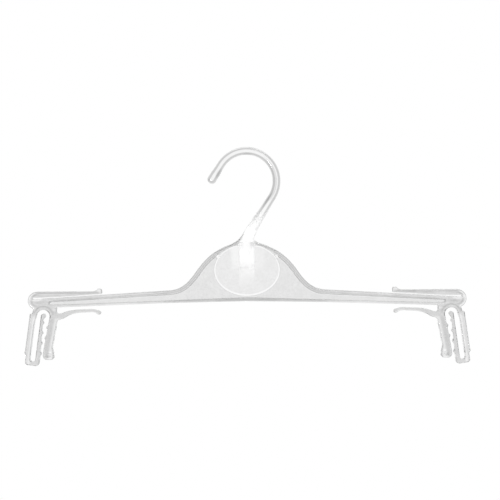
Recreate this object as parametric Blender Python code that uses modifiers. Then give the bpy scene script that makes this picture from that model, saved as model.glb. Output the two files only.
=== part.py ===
"""A clear moulded hanger for delicates, modelled by its working members.

A round hook runs down a leaning shank into a webbed centre plate that frames an oval panel. Two ribbed arms reach
out to end loops. Each end carries a strap tongue above the arm, a strap finger below it, and a clip made of a fixed
toothed jaw and a toothed spring that rises inside a hairpin leg.

Units are metres. +X is to the viewer's right, +Y points away from the viewer and +Z up. The origin is the rail
seat, the inner top of the hook's bow. Pieces that flex have their origin on the line they bend about.
"""

from math import atan2, cos, hypot, pi, radians, sin, sqrt, tan

import bmesh
import bpy
from mathutils import Matrix, Vector
from mathutils.geometry import interpolate_bezier

# Sections and clearances
FRAME_DEPTH = 0.0064
FLEXING_DEPTH = 0.0058
WEB_THICKNESS = 0.0015
TOP_RIB = 0.0027
LOWER_RIB_CENTRE = 0.0024
LOWER_RIB_ARM = 0.0017
MEMBER_GAP = 0.0003
EDGE_ROUND = 0.0004

# Hook
HOOK_INNER_RADIUS = 0.0175
HOOK_DIAMETER = 0.0055
HOOK_TIP_RUN = 0.0128
SHANK_SLOPE = radians(57.55)
SHANK_BASE_DIAMETER = 0.0072
NECK_LENGTH = 0.0071

# Centre plate, heights measured up from its lower edge at the middle
NECK_HEIGHT = 0.0432
NECK_CORNER_OUT = 0.0044
NECK_CORNER_DROP = 0.0018
SHOULDER_START_OUT = 0.0081
SHOULDER_START_DROP = 0.0039
SHOULDER_START_SLOPE = radians(16)
NECK_FILLET_OUT = 0.0115
SHOULDER_MID_OUT = 0.0337
SHOULDER_MID_HEIGHT = 0.0211
SHOULDER_MID_SLOPE = radians(55)
PLATE_HALF_WIDTH = 0.052
PLATE_DROOP = 0.0009

# Oval panel
OVAL_HALF_WIDTH = 0.0223
OVAL_HALF_HEIGHT = 0.0176
OVAL_HEIGHT = 0.021
PANEL_THICKNESS = 0.0023
PANEL_LEDGE = 0.0003
SPINE_TOP_RADIUS = 0.0026
SPINE_LENGTH = 0.028
SPINE_END_RADIUS = 0.0006

# Arms
ARM_LENGTH = 0.074
ARM_DROP = 0.0025
ARM_ROOT_HEIGHT = 0.0087
ARM_END_HEIGHT = 0.0068

# End loop, reaches measured outward from the arm's end and drops from its lower edge
LOOP_REACH = 0.0153
LOOP_RADIUS = 0.0062
EYE_RADIUS = 0.0012
EYE_WALL = 0.0032
EYE_SLOPE_LENGTH = 0.006
LOOP_NOTCH_INSET = 0.0034
LOOP_NOTCH_DROP = 0.0018
LOOP_POCKET_LENGTH = 0.006

# Strap tongue
TONGUE_THICKNESS = 0.00365
TONGUE_REACH = 0.0283
TONGUE_GAP = 0.00035
TONGUE_GAP_OUTER = 0.001
KNOB_LENGTH = 0.0033
KNOB_RISE = 0.0018
KNOB_RAMP = 0.0024
KNOB_ROUND = 0.0009
TONGUE_PIVOT_REACH = 0.014

# Clip
ARCH_REACH = 0.0113
ARCH_RADIUS = 0.0044
ARCH_CROWN_DROP = 0.0016
ROOT_DROP = 0.0033
JAW_INSET = 0.0022
JAW_WIDTH = 0.0056
JAW_LEAN = radians(10.8)
JAW_DROP = 0.0353
FOOT_REACH = 0.0116
FOOT_WIDTH = 0.0074
FOOT_HEIGHT = 0.0082
FOOT_OUTER_ROUND = 0.0028
FOOT_INNER_ROUND = 0.0018
SLOT_WIDTH = 0.0036
SLOT_LENGTH = 0.0285
SLOT_OFFSET = 0.0008
SLOT_LEAN = radians(7.8)
LEG_WIDTH = 0.0039
LEG_SHOULDER_DROP = 0.0078
BEND_THICKNESS = 0.0028
BEND_SIDE = 0.003
BEND_ROUND = 0.0022
NUB_HEIGHT = 0.0037
NUB_RISE = 0.0003
SPRING_ROOT_WIDTH = 0.003
SPRING_TIP_WIDTH = 0.0018
SPRING_BULB_RADIUS = 0.0016
SPRING_TOP_GAP = 0.0018
TOOTH_PITCH = 0.007
TOOTH_RISE = 0.0009
TOOTH_BASE = 0.0034
JAW_FIRST_TOOTH = 0.0075
SPRING_FIRST_TOOTH = 0.0039

# Strap finger, offsets measured from its pivot
FINGER_ROOT_THICKNESS = 0.004
FINGER_THICKNESS = 0.0023
FINGER_LENGTH = 0.0243
FINGER_TIP_RISE = 0.002
FINGER_CURL = radians(28)
FINGER_CREST = 0.0186
FINGER_RISE = 0.0033
FINGER_LEVEL = radians(3)
FINGER_ROOT_SLOPE = radians(28)
FINGER_BULB_RADIUS = 0.0015
FINGER_ROOT_WIDTH = 0.0018

SIDES = {"left": -1, "right": 1}
WELD = 1e-6


def clear_scene():
    for old in list(bpy.data.objects):
        bpy.data.objects.remove(old)


def clear_plastic(name, tint):
    material = bpy.data.materials.new(name + "_plastic")
    material.use_nodes = True
    shader = material.node_tree.nodes["Principled BSDF"]
    shader.inputs["Base Color"].default_value = (*tint, 1)
    shader.inputs["Metallic"].default_value = 0
    shader.inputs["Roughness"].default_value = 0.08
    shader.inputs["IOR"].default_value = 1.57
    shader.inputs["Transmission Weight"].default_value = 0.9
    return material


RIGID_TINT = (0.86, 0.87, 0.88)
PANEL_TINT = (0.9, 0.91, 0.92)
FLEXING_TINT = (0.8, 0.82, 0.84)


def arc(centre, radius, start, end, steps=8):
    """Points on a circle from one angle to another, in radians from +X towards +Z."""
    turn = (end - start) / steps
    return [
        (centre[0] + radius * cos(start + turn * i), centre[1] + radius * sin(start + turn * i))
        for i in range(steps + 1)
    ]


def curve_between(start, start_slope, end, end_slope, reach, steps=9):
    """A smooth curve that leaves start and reaches end at the given downward slopes, as (x, z) points."""
    first, last = Vector((*start, 0)), Vector((*end, 0))
    out = Vector((cos(start_slope), -sin(start_slope), 0)) * reach[0]
    back = Vector((cos(end_slope), -sin(end_slope), 0)) * reach[1]
    return [(p.x, p.y) for p in interpolate_bezier(first, first + out, last - back, last, steps)]


def offset_path(path, distance):
    """The path moved to its right-hand side, square to its own run."""
    moved = []
    for i, (x, z) in enumerate(path):
        before, after = path[max(i - 1, 0)], path[min(i + 1, len(path) - 1)]
        along = (after[0] - before[0], after[1] - before[1])
        length = hypot(*along)
        moved.append((x + along[1] / length * distance, z - along[0] / length * distance))
    return moved


def mirrored(points):
    return [(-x, z) for x, z in reversed(points)]


def height_at(path, x):
    """Height of a path that runs towards +X, read at x."""
    for (x0, z0), (x1, z1) in zip(path, path[1:]):
        if x <= x1:
            return z0 + (z1 - z0) * (x - x0) / (x1 - x0)
    return path[-1][1]


def flat_mesh(name, outline, depth):
    """A closed outline in the XZ plane, filled and given a depth centred on Y."""
    curve = bpy.data.curves.new(name, "CURVE")
    curve.dimensions = "2D"
    curve.fill_mode = "BOTH"
    curve.extrude = depth / 2
    spline = curve.splines.new("POLY")
    spline.points.add(len(outline) - 1)
    for point, (x, z) in zip(spline.points, outline):
        point.co = (x, z, 0, 1)
    spline.use_cyclic_u = True
    guide = bpy.data.objects.new(name + "_outline", curve)
    bpy.context.scene.collection.objects.link(guide)
    bpy.context.view_layer.update()
    graph = bpy.context.evaluated_depsgraph_get()
    mesh = bpy.data.meshes.new_from_object(guide.evaluated_get(graph))
    bpy.data.objects.remove(guide)
    bpy.data.curves.remove(curve)
    mesh.name = name
    welded = bmesh.new()
    welded.from_mesh(mesh)
    bmesh.ops.remove_doubles(welded, verts=welded.verts, dist=WELD)
    bmesh.ops.dissolve_limit(
        welded, angle_limit=radians(0.5), verts=welded.verts, edges=welded.edges
    )
    bmesh.ops.rotate(welded, verts=welded.verts, matrix=Matrix.Rotation(pi / 2, 3, "X"))
    bmesh.ops.recalc_face_normals(welded, faces=welded.faces)
    welded.to_mesh(mesh)
    welded.free()
    return mesh


def flat_piece(name, outline, depth, origin=(0, 0)):
    """An object made of a flat outline, with its origin at a chosen (x, z)."""
    local = [(x - origin[0], z - origin[1]) for x, z in outline]
    piece = bpy.data.objects.new(name, flat_mesh(name, local, depth))
    piece.location = (origin[0], 0, origin[1])
    return piece


def soften(piece):
    """Small rounds on the edges between the flat faces and the sides."""
    bevel = piece.modifiers.new("edge_round", "BEVEL")
    bevel.width = EDGE_ROUND
    bevel.segments = 2
    bevel.limit_method = "ANGLE"
    bevel.angle_limit = radians(60)


def shade(piece):
    piece.data.shade_smooth()
    piece.data.set_sharp_from_angle(angle=radians(35))


def cut(piece, cutter, operation="DIFFERENCE"):
    modifier = piece.modifiers.new(cutter.name, "BOOLEAN")
    modifier.operation = operation
    modifier.object = cutter


class Model:
    """The collections that hold the pieces and the cutters, and the empty that carries every piece."""

    def __init__(self):
        self.pieces = self.collection("delicates_hanger")
        self.cutters = self.collection("cutters")
        self.seat = bpy.data.objects.new("rail_seat", None)
        self.seat.empty_display_size = HOOK_INNER_RADIUS
        self.pieces.objects.link(self.seat)

    def collection(self, name):
        made = bpy.data.collections.new(name)
        bpy.context.scene.collection.children.link(made)
        return made

    def add(self, piece, tint):
        self.pieces.objects.link(piece)
        piece.parent = self.seat
        piece.data.materials.append(clear_plastic(piece.name, tint))
        shade(piece)
        return piece

    def add_cutter(self, cutter):
        self.cutters.objects.link(cutter)
        cutter.hide_render = True
        cutter.display_type = "WIRE"
        return cutter


# Hook and shank

BOW_RADIUS = HOOK_INNER_RADIUS + HOOK_DIAMETER / 2
BOW_CENTRE = (0, -HOOK_INNER_RADIUS)
SHANK_DIRECTION = (-cos(SHANK_SLOPE), -sin(SHANK_SLOPE))
SHANK_TOP = (
    BOW_CENTRE[0] + BOW_RADIUS * sin(SHANK_SLOPE),
    BOW_CENTRE[1] - BOW_RADIUS * cos(SHANK_SLOPE),
)
NECK_POINT = (0, SHANK_TOP[1] - SHANK_TOP[0] * tan(SHANK_SLOPE))
NECK_PLANE = (
    NECK_POINT[0] - SHANK_DIRECTION[0] * NECK_LENGTH,
    NECK_POINT[1] - SHANK_DIRECTION[1] * NECK_LENGTH,
)


def hook_path():
    """Centre line of the hook from its round tip to the neck, as (x, z, radius) rings."""
    thin = HOOK_DIAMETER / 2
    leave = pi - (pi / 2 - SHANK_SLOPE)
    tip_start = arc(BOW_CENTRE, BOW_RADIUS, leave, leave, 1)[0]
    along = (-sin(pi - leave), -cos(pi - leave))
    rings = []
    for i in range(5):
        lift = pi / 2 * (0.12 + 0.22 * i)
        run = HOOK_TIP_RUN + thin * cos(lift)
        rings.append((tip_start[0] + along[0] * run, tip_start[1] + along[1] * run, thin * sin(lift)))
    for share in (1, 0.5):
        run = HOOK_TIP_RUN * share
        rings.append((tip_start[0] + along[0] * run, tip_start[1] + along[1] * run, thin))
    for x, z in arc(BOW_CENTRE, BOW_RADIUS, leave, -(pi / 2 - SHANK_SLOPE), 30):
        rings.append((x, z, thin))
    length = hypot(SHANK_TOP[0] - NECK_PLANE[0], SHANK_TOP[1] - NECK_PLANE[1]) - MEMBER_GAP
    wide = SHANK_BASE_DIAMETER / 2
    for share in (0.2, 0.4, 0.6, 0.8, 1):
        run = length * share
        x, z = SHANK_TOP[0] + SHANK_DIRECTION[0] * run, SHANK_TOP[1] + SHANK_DIRECTION[1] * run
        rings.append((x, z, thin + (wide - thin) * share**1.4))
    return rings


def make_hook(model):
    rings = hook_path()
    curve = bpy.data.curves.new("hook", "CURVE")
    curve.dimensions = "3D"
    curve.bevel_depth = HOOK_DIAMETER / 2
    curve.bevel_resolution = 5
    curve.use_fill_caps = True
    spline = curve.splines.new("POLY")
    spline.points.add(len(rings) - 1)
    for point, (x, z, radius) in zip(spline.points, rings):
        point.co = (x, 0, z, 1)
        point.radius = radius / (HOOK_DIAMETER / 2)
    hook = bpy.data.objects.new("hook", curve)
    model.pieces.objects.link(hook)
    hook.parent = model.seat
    curve.materials.append(clear_plastic("hook", RIGID_TINT))
    spline.use_smooth = True


# Centre plate and oval panel

BASE = NECK_POINT[1] - NECK_HEIGHT
PLATE_END_BOTTOM = BASE - PLATE_DROOP
PLATE_END_TOP = PLATE_END_BOTTOM + ARM_ROOT_HEIGHT
ARM_END_X = PLATE_HALF_WIDTH + ARM_LENGTH
ARM_END_BOTTOM = PLATE_END_BOTTOM - ARM_DROP
ARM_END_TOP = ARM_END_BOTTOM + ARM_END_HEIGHT
ARM_TOP_SLOPE = atan2(PLATE_END_TOP - ARM_END_TOP, ARM_LENGTH)


def shoulder():
    """The plate's right shoulder, from beside the neck out to the arm."""
    start = (SHOULDER_START_OUT, NECK_POINT[1] - SHOULDER_START_DROP)
    middle = (SHOULDER_MID_OUT, BASE + SHOULDER_MID_HEIGHT)
    end = (PLATE_HALF_WIDTH, PLATE_END_TOP)
    upper = hypot(middle[0] - start[0], middle[1] - start[1])
    lower = hypot(end[0] - middle[0], end[1] - middle[1])
    high = curve_between(
        start, SHOULDER_START_SLOPE, middle, SHOULDER_MID_SLOPE, (upper * 0.42, upper * 0.33)
    )
    low = curve_between(
        middle, SHOULDER_MID_SLOPE, end, ARM_TOP_SLOPE, (lower * 0.38, lower * 0.38)
    )
    return high + low[1:]


def plate_outline():
    right = shoulder()
    half = SHANK_BASE_DIAMETER / 2
    across = (-SHANK_DIRECTION[1] * half, SHANK_DIRECTION[0] * half)
    neck_right = (NECK_PLANE[0] + across[0], NECK_PLANE[1] + across[1])
    neck_left = (NECK_PLANE[0] - across[0], NECK_PLANE[1] - across[1])
    corner = (NECK_CORNER_OUT, NECK_POINT[1] - NECK_CORNER_DROP)
    left = [p for p in mirrored(right) if p[0] < -NECK_FILLET_OUT]
    run = (left[-1][0] - left[-2][0], left[-1][1] - left[-2][1])
    reach = hypot(neck_left[0] - left[-1][0], neck_left[1] - left[-1][1])
    sweep = curve_between(
        left[-1], -atan2(run[1], run[0]), neck_left, -SHANK_SLOPE, (reach * 0.5, reach * 0.5), 8
    )
    base = [(PLATE_HALF_WIDTH, PLATE_END_BOTTOM), (0, BASE), (-PLATE_HALF_WIDTH, PLATE_END_BOTTOM)]
    return left + sweep[1:] + [neck_right, corner] + right + base


def pocket_top():
    """The inner edge of the right-hand rib, from the middle out past the plate's end."""
    inner = offset_path(shoulder(), TOP_RIB)
    slope = tan(ARM_TOP_SLOPE)
    past = (PLATE_HALF_WIDTH + TOP_RIB, PLATE_END_TOP - TOP_RIB / cos(ARM_TOP_SLOPE) - slope * TOP_RIB)
    return [(0, inner[0][1])] + [p for p in inner if p[0] < PLATE_HALF_WIDTH] + [past]


def plate_pocket():
    top = pocket_top()
    right = [
        (top[-1][0], PLATE_END_BOTTOM + LOWER_RIB_ARM - ARM_DROP / ARM_LENGTH * TOP_RIB),
        (PLATE_HALF_WIDTH, PLATE_END_BOTTOM + LOWER_RIB_ARM),
        (0, BASE + LOWER_RIB_CENTRE),
    ]
    return mirrored(top)[:-1] + top + right + mirrored(right)[1:]


def oval(inset):
    """The oval, cut off along the shoulder ribs and drawn in by an inset."""
    top = pocket_top()
    points = []
    steps = 56
    for i in range(steps):
        angle = 2 * pi * i / steps
        x = (OVAL_HALF_WIDTH - inset) * cos(angle)
        z = BASE + OVAL_HEIGHT + (OVAL_HALF_HEIGHT - inset) * sin(angle)
        points.append((x, min(z, height_at(top, abs(x)) - PANEL_LEDGE - inset)))
    return points


def pocket_cutters(model, name, outline):
    """One cutter for each face, which together leave the web standing in the middle."""
    depth = FRAME_DEPTH / 2
    made = []
    for face, way in (("front", -1), ("back", 1)):
        cutter = flat_piece(f"{name}_{face}_pocket", outline, depth)
        cutter.location.y = way * (WEB_THICKNESS + depth) / 2
        made.append(model.add_cutter(cutter))
    return made


def make_plate(model):
    plate = flat_piece("centre_plate", plate_outline(), FRAME_DEPTH)
    for cutter in pocket_cutters(model, "plate", plate_pocket()):
        cut(plate, cutter)
    hole = model.add_cutter(flat_piece("oval_hole", oval(0), FRAME_DEPTH))
    cut(plate, hole)
    model.add(plate, RIGID_TINT)


def make_panel(model):
    """The oval panel, with the spine that carries the shank's line down its middle."""
    top = height_at(pocket_top(), 0) - PANEL_LEDGE - MEMBER_GAP
    bm = bmesh.new()
    bmesh.ops.create_cone(
        bm,
        cap_ends=True,
        segments=20,
        radius1=SPINE_END_RADIUS,
        radius2=SPINE_TOP_RADIUS,
        depth=SPINE_LENGTH,
        matrix=Matrix.Translation((0, 0, -SPINE_LENGTH / 2)),
    )
    mesh = bpy.data.meshes.new("spine")
    bm.to_mesh(mesh)
    bm.free()
    spine = model.add_cutter(bpy.data.objects.new("spine", mesh))
    spine.location.z = top
    panel = flat_piece("oval_panel", oval(MEMBER_GAP), PANEL_THICKNESS)
    cut(panel, spine, "UNION")
    model.add(panel, PANEL_TINT)


# Arms and end pieces. Positions are written for the right-hand end and mirrored for the left.


def end_point(side, reach, height):
    """A point measured outward from the arm's end and up from its lower edge."""
    return (side * (ARM_END_X + reach), ARM_END_BOTTOM + height)


def end_outline(side, points):
    return [end_point(side, *p) for p in points]


def make_arm(model, name, side):
    root_x, end_x = PLATE_HALF_WIDTH + MEMBER_GAP, ARM_END_X
    bottom_slope = ARM_DROP / ARM_LENGTH
    top_slope = tan(ARM_TOP_SLOPE)

    def bottom(x):
        return PLATE_END_BOTTOM - bottom_slope * (x - PLATE_HALF_WIDTH)

    def top(x):
        return PLATE_END_TOP - top_slope * (x - PLATE_HALF_WIDTH)

    body = [
        (root_x, bottom(root_x)),
        (end_x, bottom(end_x)),
        (end_x, top(end_x)),
        (root_x, top(root_x)),
    ]
    over = TOP_RIB
    inner = [
        (x, line(x) + lift)
        for x, line, lift in (
            (root_x - over, bottom, LOWER_RIB_ARM),
            (end_x + over, bottom, LOWER_RIB_ARM),
            (end_x + over, top, -TOP_RIB),
            (root_x - over, top, -TOP_RIB),
        )
    ]
    arm = flat_piece(f"arm_{name}", [(side * x, z) for x, z in body], FRAME_DEPTH)
    for cutter in pocket_cutters(model, f"arm_{name}", [(side * x, z) for x, z in inner]):
        cut(arm, cutter)
    model.add(arm, RIGID_TINT)


TONGUE_TOP = ARM_END_HEIGHT + TONGUE_GAP + TONGUE_THICKNESS
LOOP_CENTRE = (LOOP_REACH, TONGUE_TOP - LOOP_RADIUS)
EYE_CENTRE_REACH = LOOP_REACH + LOOP_RADIUS - EYE_WALL - EYE_RADIUS
ARCH_CENTRE = (ARCH_REACH, -ARCH_CROWN_DROP - ARCH_RADIUS)
TOP_FALL = tan(ARM_TOP_SLOPE)
EYE_START = EYE_CENTRE_REACH - EYE_SLOPE_LENGTH
TONGUE_OUTER_BOTTOM = ARM_END_HEIGHT - TOP_FALL * EYE_START + TONGUE_GAP_OUTER
EYE_CENTRE = (EYE_CENTRE_REACH, TONGUE_OUTER_BOTTOM - EYE_RADIUS)
TONGUE_NOSE = (TONGUE_TOP - TONGUE_OUTER_BOTTOM) / 2
TONGUE_PIVOT = (TONGUE_PIVOT_REACH, TONGUE_OUTER_BOTTOM + TONGUE_NOSE)


def arch_side(drop, way):
    """Reach of the arch's inner or outer side at a drop below the arm's lower edge."""
    return ARCH_REACH + way * sqrt(ARCH_RADIUS**2 - (ARCH_CENTRE[1] + drop) ** 2)


def loop_outline():
    face = TONGUE_PIVOT_REACH + TONGUE_NOSE + MEMBER_GAP
    face_angle = pi / 2 - atan2(face - LOOP_REACH, sqrt(LOOP_RADIUS**2 - (face - LOOP_REACH) ** 2))
    notch = (LOOP_REACH + LOOP_RADIUS - LOOP_NOTCH_INSET, -LOOP_NOTCH_DROP)
    notch_angle = atan2(notch[1] - LOOP_CENTRE[1], notch[0] - LOOP_CENTRE[0])
    crown = [
        atan2(-ROOT_DROP - ARCH_CENTRE[1], arch_side(ROOT_DROP, way) - ARCH_REACH) for way in (1, -1)
    ]
    upper = [(0, ARM_END_HEIGHT), (EYE_START, ARM_END_HEIGHT - TOP_FALL * EYE_START)]
    eye = arc(EYE_CENTRE, EYE_RADIUS, -pi / 2, pi / 2)
    outer = arc(LOOP_CENTRE, LOOP_RADIUS, face_angle, notch_angle, 16)
    leg_top = (notch[0] + LOOP_NOTCH_INSET / 8, -ROOT_DROP)
    arch = arc(ARCH_CENTRE, ARCH_RADIUS, *crown, 10)
    jaw_top = [(JAW_INSET, -ROOT_DROP), (JAW_INSET, -ROOT_DROP / 8), (JAW_INSET * 0.8, 0), (0, 0)]
    start = MEMBER_GAP
    points = upper + eye + [(face, EYE_CENTRE[1] + EYE_RADIUS)] + outer + [notch, leg_top] + arch + jaw_top
    return [(start if reach == 0 else reach, height) for reach, height in points]


def make_end_loop(model, name, side):
    loop = flat_piece(f"end_loop_{name}", end_outline(side, loop_outline()), FRAME_DEPTH)
    low, high = LOWER_RIB_ARM, ARM_END_HEIGHT - TOP_RIB
    fall = ARM_DROP / ARM_LENGTH
    over = TOP_RIB
    radius = (high - low) / 2
    round_end = arc((LOOP_POCKET_LENGTH, low + radius), radius, -pi / 2, pi / 2)
    pocket = [(-over, high + over * TOP_FALL), (-over, low + over * fall)] + round_end
    for cutter in pocket_cutters(model, f"end_{name}", end_outline(side, pocket)):
        cut(loop, cutter)
    model.add(loop, RIGID_TINT)


def teeth(first, count, pitch, rise, base):
    """Rounded teeth along an edge, as (offset, distance) pairs in order of distance."""
    points = []
    for i in range(count):
        middle = first + pitch * i
        points += [
            (0, middle - base / 2),
            (rise * 0.8, middle - base * 0.12),
            (rise, middle),
            (rise * 0.8, middle + base * 0.12),
            (0, middle + base / 2),
        ]
    return points


JAW_FACE_TOP = (ARCH_REACH - ARCH_RADIUS, ARCH_CENTRE[1])


def jaw_point(in_from_face, down):
    """A point of the jaw, measured in from its toothed face and down along it."""
    return (
        JAW_FACE_TOP[0] - in_from_face * cos(JAW_LEAN) + down * sin(JAW_LEAN),
        JAW_FACE_TOP[1] - in_from_face * sin(JAW_LEAN) - down * cos(JAW_LEAN),
    )


FINGER_NOSE = FINGER_ROOT_THICKNESS / 2
BOSS_REACH = JAW_INSET - FINGER_ROOT_WIDTH
ROOT_LEVEL = -ROOT_DROP - MEMBER_GAP
FINGER_PIVOT = (BOSS_REACH - MEMBER_GAP - FINGER_NOSE, ROOT_LEVEL - FINGER_NOSE)


def jaw_down_to(in_from_face, drop):
    """How far down the jaw a line along it reaches a drop below the arm's lower edge."""
    return (JAW_FACE_TOP[1] - in_from_face * sin(JAW_LEAN) + drop) / cos(JAW_LEAN)


def foot_outline():
    """The jaw's upright foot, from its outer top corner round its lower corners to its inner side."""
    outer, inner = FOOT_REACH, FOOT_REACH - FOOT_WIDTH
    big, small = FOOT_OUTER_ROUND, FOOT_INNER_ROUND
    upper = FOOT_HEIGHT * 0.55
    return (
        [(outer, -JAW_DROP + upper)]
        + arc((outer - big, -JAW_DROP + big), big, 0, -pi / 2, 5)
        + arc((inner + small, -JAW_DROP + small), small, -pi / 2, -pi, 4)
        + [(inner, -JAW_DROP + upper)]
    )


def jaw_outline():
    root_arc = [
        atan2(ROOT_LEVEL - ARCH_CENTRE[1], arch_side(-ROOT_LEVEL, -1) - ARCH_REACH) % (2 * pi),
        pi,
    ]
    face_top = arc(ARCH_CENTRE, ARCH_RADIUS, *root_arc, 4)
    foot_top = JAW_DROP - FOOT_HEIGHT
    face_end = jaw_down_to(0, foot_top)
    count = int((face_end - TOOTH_BASE / 2 - JAW_FIRST_TOOTH) / TOOTH_PITCH) + 1
    cuts = teeth(JAW_FIRST_TOOTH, count, TOOTH_PITCH, TOOTH_RISE, TOOTH_BASE)
    face = [jaw_point(-rise, down) for rise, down in cuts] + [jaw_point(0, face_end)]
    back_end = jaw_point(JAW_WIDTH, jaw_down_to(JAW_WIDTH, foot_top))
    boss_bottom = FINGER_PIVOT[1] - FINGER_NOSE - MEMBER_GAP
    heel = jaw_point(JAW_WIDTH, jaw_down_to(JAW_WIDTH, FINGER_ROOT_WIDTH / 2 - boss_bottom))
    boss = [heel, (BOSS_REACH, boss_bottom), (BOSS_REACH, ROOT_LEVEL)]
    return face_top + face + foot_outline() + [back_end] + boss


def make_jaw(model, name, side):
    jaw = flat_piece(f"clip_jaw_{name}", end_outline(side, jaw_outline()), FRAME_DEPTH)
    soften(jaw)
    model.add(jaw, RIGID_TINT)


SLOT_TOP = (ARCH_REACH + ARCH_RADIUS + SLOT_OFFSET, ARCH_CENTRE[1])
SLOT_BOTTOM = (
    SLOT_TOP[0] + SLOT_LENGTH * sin(SLOT_LEAN) - SLOT_WIDTH / 2 * cos(SLOT_LEAN),
    SLOT_TOP[1] - SLOT_LENGTH * cos(SLOT_LEAN) - SLOT_WIDTH / 2 * sin(SLOT_LEAN),
)


def clip_point(across, up):
    """A point of the hairpin, measured outward and up from the centre of the slot's round bottom."""
    return (
        SLOT_BOTTOM[0] + across * cos(SLOT_LEAN) - up * sin(SLOT_LEAN),
        SLOT_BOTTOM[1] + across * sin(SLOT_LEAN) + up * cos(SLOT_LEAN),
    )


SLOT_HALF = SLOT_WIDTH / 2
SPRING_NOSE = SPRING_ROOT_WIDTH / 2
SPRING_PIVOT_LOCAL = (-SLOT_HALF - SPRING_NOSE, SPRING_NOSE / 2)
SPRING_PIVOT = clip_point(*SPRING_PIVOT_LOCAL)


def leg_outline():
    root_arc = [atan2(ROOT_LEVEL - ARCH_CENTRE[1], arch_side(-ROOT_LEVEL, 1) - ARCH_REACH), radians(10)]
    inner_top = arc(ARCH_CENTRE, ARCH_RADIUS, *root_arc, 4)
    seat = SPRING_PIVOT_LOCAL[1] - SPRING_NOSE - MEMBER_GAP
    bend_angle = atan2(seat, -sqrt(SLOT_HALF**2 - seat**2))
    slot = [(SLOT_HALF, SLOT_LENGTH - ARCH_RADIUS)] + arc((0, 0), SLOT_HALF, 0, bend_angle, 10)
    outer_left = -SLOT_HALF - SPRING_ROOT_WIDTH
    outer_right = SLOT_HALF + BEND_SIDE
    bottom = -SLOT_HALF - BEND_THICKNESS
    bend = [(outer_left, seat)]
    bend += arc((outer_left + BEND_ROUND, bottom + BEND_ROUND), BEND_ROUND, pi, 3 * pi / 2, 5)
    bend += arc((outer_right - BEND_ROUND, bottom + BEND_ROUND), BEND_ROUND, 3 * pi / 2, 2 * pi, 5)
    leg_side = SLOT_HALF + LEG_WIDTH
    step = NUB_RISE * 2
    nub = [
        (outer_right, NUB_HEIGHT / 2),
        (leg_side + NUB_RISE, NUB_HEIGHT - step / 2),
        (leg_side + NUB_RISE, NUB_HEIGHT + step / 2),
        (leg_side, NUB_HEIGHT + 2 * step),
    ]
    shoulder_up = SLOT_LENGTH + (SLOT_TOP[1] + LEG_SHOULDER_DROP) / cos(SLOT_LEAN) - LEG_WIDTH * sin(SLOT_LEAN)
    local = slot + bend + nub + [(leg_side, shoulder_up)]
    top = (LOOP_REACH + LOOP_RADIUS - LOOP_NOTCH_INSET * 7 / 8, ROOT_LEVEL)
    return inner_top + [clip_point(*p) for p in local] + [top]


def make_leg(model, name, side):
    leg = flat_piece(f"clip_leg_{name}", end_outline(side, leg_outline()), FRAME_DEPTH)
    soften(leg)
    model.add(leg, RIGID_TINT)


def spring_outline():
    bulb_up = (ARCH_CENTRE[1] + ARCH_RADIUS - SPRING_TOP_GAP - SPRING_BULB_RADIUS - SLOT_BOTTOM[1]) / cos(SLOT_LEAN)
    bulb_up -= SPRING_NOSE * sin(SLOT_LEAN)
    slot_side = -SLOT_HALF
    root_up = SPRING_PIVOT_LOCAL[1]
    bulb = (slot_side - SPRING_BULB_RADIUS, bulb_up)
    neck_up = bulb_up - 2 * SPRING_BULB_RADIUS
    taper = (SPRING_ROOT_WIDTH - SPRING_TIP_WIDTH) / (neck_up - root_up)

    def tooth_side(rise, up):
        return (slot_side - SPRING_ROOT_WIDTH + taper * (up - root_up) - rise, up)

    nose = arc(SPRING_PIVOT_LOCAL, SPRING_NOSE, pi, 2 * pi)
    count = int((neck_up - SPRING_FIRST_TOOTH) / TOOTH_PITCH) + 1
    cuts = teeth(SPRING_FIRST_TOOTH, count, TOOTH_PITCH, TOOTH_RISE, TOOTH_BASE)
    toothed = [tooth_side(rise, up) for rise, up in reversed(cuts)]
    head = arc(bulb, SPRING_BULB_RADIUS, 0, pi * 1.15, 10)
    return [clip_point(*p) for p in nose + head + toothed]


def make_spring(model, name, side):
    spring = flat_piece(
        f"clip_spring_{name}",
        end_outline(side, spring_outline()),
        FLEXING_DEPTH,
        end_point(side, *SPRING_PIVOT),
    )
    soften(spring)
    model.add(spring, FLEXING_TINT)


def tongue_outline():
    tip = -TONGUE_REACH
    tip_bottom = ARM_END_HEIGHT + TOP_FALL * TONGUE_REACH + TONGUE_GAP
    nose = arc(TONGUE_PIVOT, TONGUE_NOSE, -pi / 2, pi / 2)
    knob_top = TONGUE_TOP + KNOB_RISE
    knob = [
        (tip + KNOB_LENGTH + KNOB_RAMP, TONGUE_TOP),
        *arc((tip + KNOB_LENGTH - KNOB_ROUND, knob_top - KNOB_ROUND), KNOB_ROUND, 0, pi / 2, 3),
        *arc((tip + KNOB_ROUND, knob_top - KNOB_ROUND), KNOB_ROUND, pi / 2, pi, 3),
    ]
    bottom = [(tip, tip_bottom), (0, ARM_END_HEIGHT + TONGUE_GAP)]
    return nose + knob + bottom


def make_tongue(model, name, side):
    tongue = flat_piece(
        f"strap_tongue_{name}",
        end_outline(side, tongue_outline()),
        FLEXING_DEPTH,
        end_point(side, *TONGUE_PIVOT),
    )
    soften(tongue)
    model.add(tongue, FLEXING_TINT)


def strip(path, widths):
    """Both sides of a strip whose centre line runs towards +X, as the upper and the lower points."""
    upper, lower = [], []
    for side, points in ((-1, upper), (1, lower)):
        for i, width in enumerate(widths):
            points.append(offset_path(path, side * width / 2)[i])
    return upper, lower


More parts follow.
